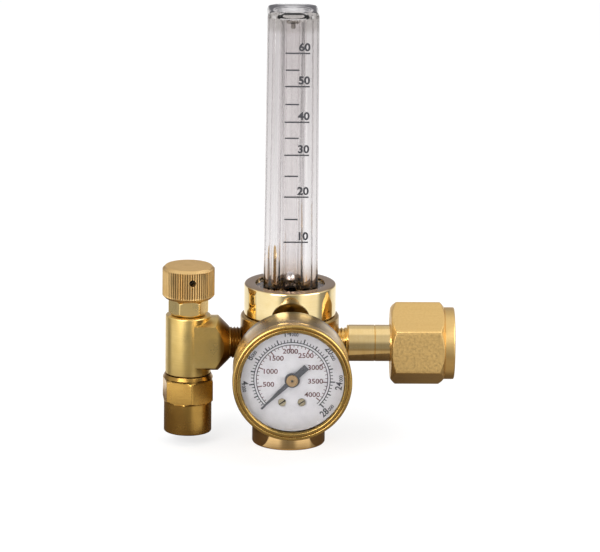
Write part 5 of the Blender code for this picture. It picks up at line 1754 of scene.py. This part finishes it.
    def build_connector(self) -> None:
        """Sleeve with a hexagon, a turned neck and an inner thread that opens downwards."""
        span = (self.sleeve_top, self.hex_top)
        rise = self.outlet_flats / math.sqrt(3.0) - self.neck
        seat = self.sleeve_bottom + self.outlet_depth
        thread_top = seat - self.outlet_cone
        corners = [
            (self.passage, self.connector_floor, 0.0),
            (self.passage, seat, 0.0),
            *rows(self.outlet_thread, thread_top, self.sleeve_bottom + 0.0006, 0.0002),
            (self.outlet_mouth, self.sleeve_bottom, 0.0),
            (self.sleeve, self.sleeve_bottom, 0.0006),
            (self.sleeve, self.sleeve_top - 0.0002, 0.0002),
            *chamfered(self.neck, self.outlet_flats, span, rise, 8),
            (self.neck, self.hex_top + 0.0008, 0.0002),
            (self.radius + FIT, self.connector_top, 0.0),
            (self.connector_hole, self.connector_top, 0.0),
            (self.connector_hole, self.connector_floor, 0.0),
        ]
        flats = Flats(self.outlet_flats, self.outlet_turn - math.pi / 2.0, corner=0.0005)
        mesh = hexed(corners, flats, span, 0.0002)
        finish = OUTLET_BRASS.on(VALVE_AXIS)
        span = (self.sleeve_bottom + 0.0004, thread_top - 0.0004)
        mesh = threaded(mesh, self.outlet_thread, self.pitch, span, -0.0006, 0.0008, finish)
        add_piece("connector_turned", mesh, finish, VALVE_AXIS, ["outlet_connector"])


@dataclass
class Gauge:
    """Case, bezel, lens, printed dial, pointer and screws, measured forward along the gauge's axis."""

    case_back: float = 0.0268
    case_radius: float = 0.0249
    case_wall: float = 0.0012
    case_step: float = 0.0467
    case_front: float = 0.0481
    rim: float = 0.0242
    socket_hole: float = 0.0055
    bezel_back: float = 0.0470
    bezel_front: float = 0.0522
    bezel_radius: float = 0.0254
    bezel_bore: float = 0.0245
    window: float = 0.02185
    lip: float = 0.0512
    lens_back: float = 0.0493
    lens_front: float = 0.0509
    dial_back: float = 0.0444
    dial_front: float = 0.0452
    dial_radius: float = 0.0225
    outer_circle: float = 0.01595
    inner_circle: float = 0.01490
    zero: float = 226.0
    outer_step: float = 9.57
    inner_step: float = 6.6
    sweep: float = 271.0
    inner_radii: tuple[float, ...] = (0.0101, 0.0098, 0.0113, 0.0121, 0.0117, 0.0109, 0.0098, 0.0108)
    outer_values: tuple[int, ...] = (4, 8, 14, 20, 24, 28)
    number_radius: float = 0.0199
    pointer_back: float = 0.0464
    pointer_front: float = 0.0469
    pointer_rest: float = math.radians(224.0)
    pointer_reach: float = 0.0180
    pointer_tail: float = 0.0083
    tail_width: float = 0.0027
    disc: float = 0.0032
    screw_side: float = 0.0041
    screw_drop: float = 0.0098
    screw_hole: float = 0.0010
    screw_head: float = 0.00165
    screw_shank: float = 0.0008
    arbor_hole: float = 0.0014
    outer_ticks: int = 57
    inner_ticks: int = 41
    hub_radius: float = 0.00255
    hub_sleeve: float = 0.0016
    hub_height: float = 0.0011
    hub_dimple: float = 0.0008

    def build(self) -> None:
        """Build each visible piece of the gauge."""
        self.build_case()
        self.build_bezel()
        self.build_lens()
        self.build_dial()
        self.build_print()
        self.build_pointer()
        self.build_hub()
        self.build_screws()

    def build_case(self) -> None:
        """Drawn cup with a rounded back edge and a stepped rim for the bezel."""
        inner = self.rim - self.case_wall
        floor = self.case_back + self.case_wall
        corners = [
            (self.socket_hole, self.case_back, 0.0),
            (self.case_radius, self.case_back, 0.0016),
            (self.case_radius, self.case_step, 0.0003),
            (self.rim, self.case_step, 0.0),
            (self.rim, self.case_front, 0.0002),
            (inner, self.case_front, 0.0),
            (inner, floor, 0.0008),
            (self.socket_hole, floor, 0.0),
        ]
        finish = CASE_BRASS.on(GAUGE_AXIS)
        add_piece("case_drawn", turned(corners, BROAD), finish, GAUGE_AXIS, ["gauge_case"])

    def build_bezel(self) -> None:
        """Rolled ring: an outer bead, a fine groove and a lip that slopes in to the lens."""
        front = self.bezel_front
        groove = self.bezel_radius - 0.0016
        corners = [
            (self.bezel_bore, self.bezel_back, 0.0),
            (self.bezel_radius, self.bezel_back, 0.0004),
            (self.bezel_radius, front - 0.0002, 0.0009),
            (groove + 0.0002, front - 0.0002, 0.0003),
            (groove, front - 0.0006, 0.0),
            (groove - 0.0003, front, 0.0003),
            (self.window + 0.0006, front, 0.0003),
            (self.window, self.lip, 0.0),
            (self.bezel_bore, self.lip, 0.0),
        ]
        facets = 160
        finish = BEZEL_BRASS.on(GAUGE_AXIS)
        add_piece("bezel_rolled", turned(corners, facets), finish, GAUGE_AXIS, ["gauge_bezel"])

    def build_lens(self) -> None:
        """Flat clear lens with broken edges."""
        corners = [
            (0.0, self.lens_back, 0.0),
            (self.rim, self.lens_back, 0.0002),
            (self.rim, self.lens_front, 0.0002),
            (0.0, self.lens_front, 0.0),
        ]
        finish = CLEAR_LENS.material()
        add_piece("lens_clear", turned(corners), finish, GAUGE_AXIS, ["gauge_lens"])

    def build_dial(self) -> None:
        """Painted dial plate with its three holes."""
        corners = [
            (self.arbor_hole, self.dial_back, 0.0),
            (self.dial_radius, self.dial_back, 0.0001),
            (self.dial_radius, self.dial_front, 0.0001),
            (self.arbor_hole, self.dial_front, 0.0),
        ]
        levels = [(self.screw_hole, self.dial_front + FIT)]
        places = [(side * self.screw_side, -self.screw_drop) for side in (-1.0, 1.0)]
        holes = [drill(self.dial_back - FIT, levels, 24, place) for place in places]
        mesh = combined(turned(corners), "DIFFERENCE", holes)
        add_piece("dial_painted", mesh, DIAL_PAINT.material(), GAUGE_AXIS, ["gauge_dial"])

    def mark_at(self, degrees: float, start: float, end: float) -> Mark:
        """Radial line on the dial.

        Args:
            degrees: its angle.
            start: the radius of its inner end.
            end: the radius of its outer end.

        Returns:
            The line.
        """
        angle = math.radians(degrees)
        middle = (start + end) / 2.0
        return Mark(middle * math.cos(angle), middle * math.sin(angle), end - start, angle)

    def spot(self, degrees: float, radius: float) -> Matrix:
        """Upright place at an angle and a radius on the dial."""
        angle = math.radians(degrees)
        return Matrix.Translation((radius * math.cos(angle), radius * math.sin(angle), 0.0))

    def number_at(self, digits: str, degrees: float, radius: float, size: float, low: bool) -> Mesh:
        """Number that follows the scale.

        Args:
            digits: the digits.
            degrees: the angle of its middle.
            radius: the radius of its middle.
            size: the height of the digits' line.
            low: whether its foot points outwards, as in the dial's lower half.

        Returns:
            The closed digits.
        """
        heading = math.radians(degrees) + (math.pi / 2.0 if low else -math.pi / 2.0)
        place = self.spot(degrees, radius) @ Matrix.Rotation(heading, 4, "Z")
        return number_mesh(digits, size, place, 0.90, size * 0.023)

    def outer_number(self, value: int) -> list[Mesh]:
        """Outer number: its first digits large, and three small noughts after them.

        Args:
            value: the number in thousands.

        Returns:
            The closed digits.
        """
        degrees = self.zero - self.outer_step * value
        low = math.sin(math.radians(degrees)) < 0.0
        way = 1.0 if low else -1.0
        lead, step = (3.0, 7.0) if value < 10 else (4.5, 9.6)
        start = degrees - way * lead
        foot = self.number_radius + way * 0.0006
        return [
            self.number_at(str(value), start, self.number_radius, 0.0039, low),
            self.number_at("000", start + way * step, foot, 0.0021, low),
        ]

    def arc_mesh(self, radius: float, width: float) -> Mesh:
        """Printed line that follows both scales from their start to their end.

        Args:
            radius: the radius of its middle.
            width: how wide it is.

        Returns:
            The closed line.
        """
        inner, outer, half = radius - width / 2.0, radius + width / 2.0, INK / 2.0
        corners = ((inner, -half), (outer, -half), (outer, half), (inner, half))
        steps = 120
        rings = []
        for i in range(steps + 1):
            angle = math.radians(self.zero - self.sweep * i / steps)
            rings.append([Vector((r * math.cos(angle), r * math.sin(angle), z)) for r, z in corners])
        return swept(rings)

    def outer_print(self) -> Mesh:
        """Black outer scale: its lines and numbers, and the double line under both scales.

        Returns:
            The closed shells on the plane z = 0.
        """
        ink = BLACK_INK.material()
        circle = self.outer_circle
        fine, bold = [], []
        for i in range(self.outer_ticks):
            reach = 0.0012 if i % 4 else 0.0017 if i % 8 else 0.0021
            mark = self.mark_at(self.zero - self.outer_step * i / 2.0, circle, circle + reach)
            (fine if i % 4 else bold).append(mark)
        digits = [mesh for value in self.outer_values for mesh in self.outer_number(value)]
        arcs = [self.arc_mesh(circle, 0.00038), self.arc_mesh(self.inner_circle, 0.00036)]
        return joined([marks_mesh(fine, 0.00036, ink), marks_mesh(bold, 0.00055, ink), *arcs, *digits])

    def inner_print(self) -> Mesh:
        """Red inner scale: its lines, and numbers that stand upright.

        Returns:
            The closed shells on the plane z = 0.
        """
        ink = RED_INK.material()
        circle = self.inner_circle
        fine, bold = [], []
        for i in range(self.inner_ticks):
            reach = 0.0010 if i % 5 else 0.0021
            mark = self.mark_at(self.zero - self.inner_step * i, circle - reach, circle - 0.0001)
            (fine if i % 5 else bold).append(mark)
        digits = []
        for i, radius in enumerate(self.inner_radii, 1):
            place = self.spot(self.zero - 5.0 * self.inner_step * i, radius)
            digits.append(number_mesh(str(500 * i), 0.0029, place, 1.12, 0.00006))
        return joined([marks_mesh(fine, 0.00028, ink), marks_mesh(bold, 0.00045, ink), *digits])

    def build_print(self) -> None:
        """Two plain number scales: a black one outside the double line and a red one inside."""
        lift = Matrix.Translation((0.0, 0.0, self.dial_front + INK_LIFT))
        for name, mesh, ink in (
            ("dial_outer_print", self.outer_print(), BLACK_INK),
            ("dial_inner_print", self.inner_print(), RED_INK),
        ):
            mesh.transform(lift)
            add_piece(name, mesh, ink.material(), GAUGE_AXIS)

    def build_pointer(self) -> None:
        """Slender painted pointer with a broad tail."""
        neck, tip = 0.0010, 0.00025
        tail = self.tail_width / 2.0
        from_neck = math.atan2(neck, math.sqrt(self.disc**2 - neck**2))
        to_tail = math.pi - math.atan2(tail, math.sqrt(self.disc**2 - tail**2))
        steps = 14
        arc = [from_neck + (to_tail - from_neck) * i / steps for i in range(steps + 1)]
        upper = [(self.disc * math.cos(a), self.disc * math.sin(a)) for a in arc]
        half = [(self.pointer_reach, tip), *upper, (-self.pointer_tail, tail)]
        outline = half + [(x, -y) for x, y in reversed(half)]
        mesh = extruded(outline, self.pointer_back, self.pointer_front)
        mesh.transform(Matrix.Rotation(self.pointer_rest, 4, "Z"))
        finish = POINTER_PAINT.material()
        add_piece(
            "pointer_painted", mesh, finish, GAUGE_AXIS, ["pointer"], "pointer_group"
        )

    def build_hub(self) -> None:
        """Brass hub of the pointer, with painted shade in its centre recess and on the back part of its side.
        """
        foot = self.pointer_back - 0.0002
        back = self.pointer_front + 0.0002
        front = back + self.hub_height
        floor = front - self.hub_dimple
        corners = [
            (0.0, foot, 0.0),
            (self.hub_sleeve, foot, 0.0),
            (self.hub_sleeve, back, 0.0),
            (self.hub_radius, back, 0.0001),
            (self.hub_radius, front, 0.0004),
            (0.0006, front, 0.0001),
            (0.0005, floor, 0.0),
            (0.0, floor, 0.0),
        ]
        mesh = turned(corners, FINE)
        finish = HUB_BRASS.on(GAUGE_AXIS)
        add_piece("hub_turned", mesh, finish, GAUGE_AXIS, ["pointer_hub"], "pointer_group")

    def build_screws(self) -> None:
        """Two slotted screws that hold the dial."""
        tip = self.dial_front - 0.0030
        back, front = self.dial_front + 0.0002, self.dial_front + 0.0010
        corners = [
            (0.0, tip, 0.0),
            (self.screw_shank, tip, 0.0001),
            (self.screw_shank, back, 0.0),
            (self.screw_head, back, 0.0001),
            (self.screw_head, front, 0.0003),
            (0.0, front, 0.0),
        ]
        facets = 40
        slant = Matrix.Rotation(math.radians(35.0), 4, "Z")
        finish = SCREW_BRASS.on(GAUGE_AXIS)
        for name, side in (("left", -1.0), ("right", 1.0)):
            place = (side * self.screw_side, -self.screw_drop)
            slot = box_mesh((-0.0020, 0.0020), (-0.00032, 0.00032), (front - 0.0006, front + FIT))
            slot.transform(Matrix.Translation((*place, 0.0)) @ slant)
            mesh = combined(turned(corners, facets, place), "DIFFERENCE", [slot])
            node = f"dial_screw_{name}"
            add_piece(f"{node}_turned", mesh, finish, GAUGE_AXIS, [node])


class Works:
    """Pieces that keep their CAD shape: those inside, and the gauge's socket."""

    FINISHES: dict[str, Callable[[], Material]] = {
        "piston": lambda: POLISHED_BRASS.on(BODY_AXIS),
        "piston_oring": RUBBER.material,
        "seat_disc": NYLON.material,
        "nozzle": lambda: POLISHED_BRASS.on(BODY_AXIS),
        "cover_oring": BROWN_RUBBER.material,
        "tube_foot_oring": BROWN_RUBBER.material,
        "ball_stop": STOP_PLASTIC.material,
        "inlet_filter": lambda: SINTERED.on(INLET_AXIS),
        "valve_stem": lambda: POLISHED_BRASS.on(VALVE_AXIS),
        "stem_packing": NYLON.material,
        "gland_ring": lambda: POLISHED_BRASS.on(VALVE_AXIS),
        "knob_set_screw": lambda: DARK_STEEL.on(VALVE_AXIS),
        "gauge_socket": lambda: VALVE_BRASS.on(GAUGE_AXIS),
        "bourdon_tube": lambda: TUBE_BRONZE.on(GAUGE_AXIS),
        "movement_frame": lambda: WORKS_BRASS.on(GAUGE_AXIS),
        "sector_pin": lambda: STEEL.on(GAUGE_AXIS),
        "pinion_arbor": lambda: DARK_STEEL.on(GAUGE_AXIS),
        "sector_gear": lambda: WORKS_BRASS.on(GAUGE_AXIS),
        "gauge_link": lambda: STEEL.on(GAUGE_AXIS),
        "hairspring": lambda: TUBE_BRONZE.on(GAUGE_AXIS),
        "lens_gasket": RUBBER.material,
    }

    def build(self) -> None:
        """Give each of these nodes its finish."""
        for node, finish in self.FINISHES.items():
            dress(node, finish())


@dataclass
class Studio:
    """Camera, floor and soft plain light."""

    azimuth: float = math.radians(-1.7)
    elevation: float = math.radians(14.7)
    roll: float = math.radians(0.67)
    distance: float = 2.6
    lens: float = 363.5
    aim: tuple[float, float, float] = (0.0042, 0.0, 0.0736)
    floor_size: float = 6.0
    floor_shadow: float = 0.35
    card: tuple[float, float, float] = (0.0158, 0.055, 0.120)
    card_height: float = 0.0002
    card_colour: Colour = (0.10, 0.072, 0.05)
    tent_strength: float = 1.15
    tent_round: tuple[tuple[float, float], ...] = (
        (0.00, 1.00),
        (0.13, 0.85),
        (0.165, 0.24),
        (0.215, 0.26),
        (0.245, 0.95),
        (0.40, 1.05),
        (0.455, 0.30),
        (0.49, 0.22),
        (0.53, 0.30),
        (0.585, 1.05),
        (0.685, 0.95),
        (0.730, 0.32),
        (0.80, 0.20),
        (0.86, 0.90),
        (1.00, 1.00),
    )
    tent_middle: Colour = (0.60, 0.60, 0.60)
    tent_side: Colour = (0.95, 0.95, 0.95)
    tent_top: Colour = (0.90, 0.90, 0.90)
    tent_back: Colour = (0.40, 0.39, 0.42)
    tent_low: Colour = (0.24, 0.21, 0.17)
    ground_front: Colour = (0.44, 0.38, 0.30)
    ground_back: Colour = (0.13, 0.10, 0.07)
    lamp_size: float = 0.8
    lamp_aim: tuple[float, float, float] = (0.0, 0.0, 0.06)

    def build(self) -> None:
        """Set up the view and the light."""
        self.build_camera()
        self.build_world()
        self.build_floor()
        self.build_card()
        self.build_lamps()

    def build_camera(self) -> None:
        """Camera at the photograph's angle, slightly rolled."""
        cos = math.cos(self.elevation)
        back = Vector((math.sin(self.azimuth) * cos, -math.cos(self.azimuth) * cos, math.sin(self.elevation)))
        data = bpy.data.cameras.new("camera")
        data.lens = self.lens
        data.sensor_width = 36.0
        data.clip_start, data.clip_end = 0.05, 50.0
        camera = linked("camera", data)
        camera.rotation_mode = "QUATERNION"
        camera.location = Vector(self.aim) + back * self.distance
        roll = Euler((0.0, 0.0, self.roll)).to_quaternion()
        camera.rotation_quaternion = (-back).to_track_quat("-Z", "Y") @ roll
        bpy.context.scene.camera = camera

    def build_world(self) -> None:
        """White to the camera and through clear plastic; for metal, a bright tent with a dark front."""
        world = bpy.data.worlds.new("studio")
        world.use_nodes = True
        world.node_tree.nodes.clear()
        bpy.context.scene.world = world
        graph = Graph(world.node_tree)
        x, y, z = graph.parts(graph.node("ShaderNodeTexCoord").outputs["Generated"]).values()
        turn = graph.math("DIVIDE", graph.math("ARCTAN2", x, graph.times(y, -1.0)), 2.0 * math.pi)
        around = graph.ramp(graph.math("ADD", turn, 0.5), self.tent_round)
        aside = graph.between(graph.math("ABSOLUTE", x), 0.15, 0.6)
        raised = graph.blend(aside, self.tent_middle, self.tent_side)
        tent = graph.blend(graph.between(z, 0.05, 0.5), around, raised)
        tent = graph.blend(graph.between(z, 0.86, 0.97), tent, self.tent_top)
        behind = graph.times(graph.between(y, 0.1, 0.6), graph.between(z, 0.0, 0.12))
        behind = graph.times(behind, graph.between(z, 0.45, 0.65, 1.0, 0.0))
        tent = graph.blend(behind, tent, self.tent_back)
        tent = graph.blend(graph.between(z, -0.45, -0.32, 1.0, 0.0), tent, self.tent_low)
        ground = graph.blend(graph.between(y, -0.2, 0.3), self.ground_front, self.ground_back)
        tent = graph.blend(graph.between(z, -0.66, -0.52, 1.0, 0.0), tent, ground)
        glow = graph.node("ShaderNodeBackground", {"Color": tent, "Strength": self.tent_strength})
        white = graph.node("ShaderNodeBackground", {"Color": WHITE, "Strength": 1.0})
        inputs = {0: graph.seen(), 1: glow.outputs[0], 2: white.outputs[0]}
        mixed = graph.node("ShaderNodeMixShader", inputs)
        graph.node("ShaderNodeOutputWorld", {"Surface": mixed.outputs[0]})

    def build_floor(self) -> None:
        """Pale floor that is white to the camera but keeps the object's shadow."""
        half = self.floor_size / 2.0
        corners = [(-half, -half, 0.0), (half, -half, 0.0), (half, half, 0.0), (-half, half, 0.0)]
        mesh = bpy.data.meshes.new("floor")
        mesh.from_pydata(corners, [], [(0, 1, 2, 3)])
        material, graph, shader = new_material("floor_white")
        graph.fill(shader, {"Base Color": (0.86, 0.86, 0.86), "Roughness": 0.9, "Specular IOR Level": 0.0})
        share = graph.times(graph.seen(), 1.0 - self.floor_shadow)
        glow = graph.node("ShaderNodeEmission", {"Color": WHITE, "Strength": 1.08})
        inputs = {0: share, 1: shader.outputs[0], 2: glow.outputs[0]}
        mixed = graph.node("ShaderNodeMixShader", inputs)
        graph.fill(material.node_tree.nodes["Material Output"], {"Surface": mixed.outputs[0]})
        mesh.materials.append(material)
        floor = linked("floor", mesh)
        floor.visible_glossy = False

    def build_card(self) -> None:
        """Dark open ring on the floor at the object's sides and behind, seen only in reflections."""
        inner, right, left = self.card
        steps = 24
        points = []
        for i in range(steps + 1):
            turn = math.pi * (1.44 * i / steps - 0.22)
            outer = right + (left - right) * (1.0 - math.cos(turn)) / 2.0
            points += [(r * math.cos(turn), r * math.sin(turn), self.card_height) for r in (inner, outer)]
        faces = [(2 * i, 2 * i + 1, 2 * i + 3, 2 * i + 2) for i in range(steps)]
        mesh = bpy.data.meshes.new("card")
        mesh.from_pydata(points, [], faces)
        material, graph, shader = new_material("card_dark")
        graph.fill(shader, {"Base Color": self.card_colour, "Roughness": 0.9})
        mesh.materials.append(material)
        card = linked("card", mesh)
        card.visible_camera = False
        card.visible_diffuse = False
        card.visible_transmission = False
        card.visible_shadow = False

    def build_lamps(self) -> None:
        """One broad lamp above the front left and a weaker one to the right."""
        for name, place, power in (
            ("key", (-0.62, -1.00, 0.50), 15.0),
            ("fill", (0.75, -0.50, 0.60), 7.0),
        ):
            data = bpy.data.lights.new(name, "AREA")
            data.size = self.lamp_size
            data.energy = power
            lamp = linked(name, data)
            lamp.location = place
            lamp.rotation_mode = "QUATERNION"
            lamp.rotation_quaternion = (Vector(self.lamp_aim) - Vector(place)).to_track_quat("-Z", "Y")


def main() -> None:
    """Build the whole picture."""
    logging.basicConfig(level=logging.INFO, format="%(message)s")
    bpy.context.scene.view_settings.view_transform = "Standard"
    for part in (Studio(), Block(), Spring(), FlowTube(), Inlet(), FlowValve(), Gauge(), Works()):
        LOG.info("building %s", type(part).__name__)
        part.build()


if __name__ == "__main__":
    main()
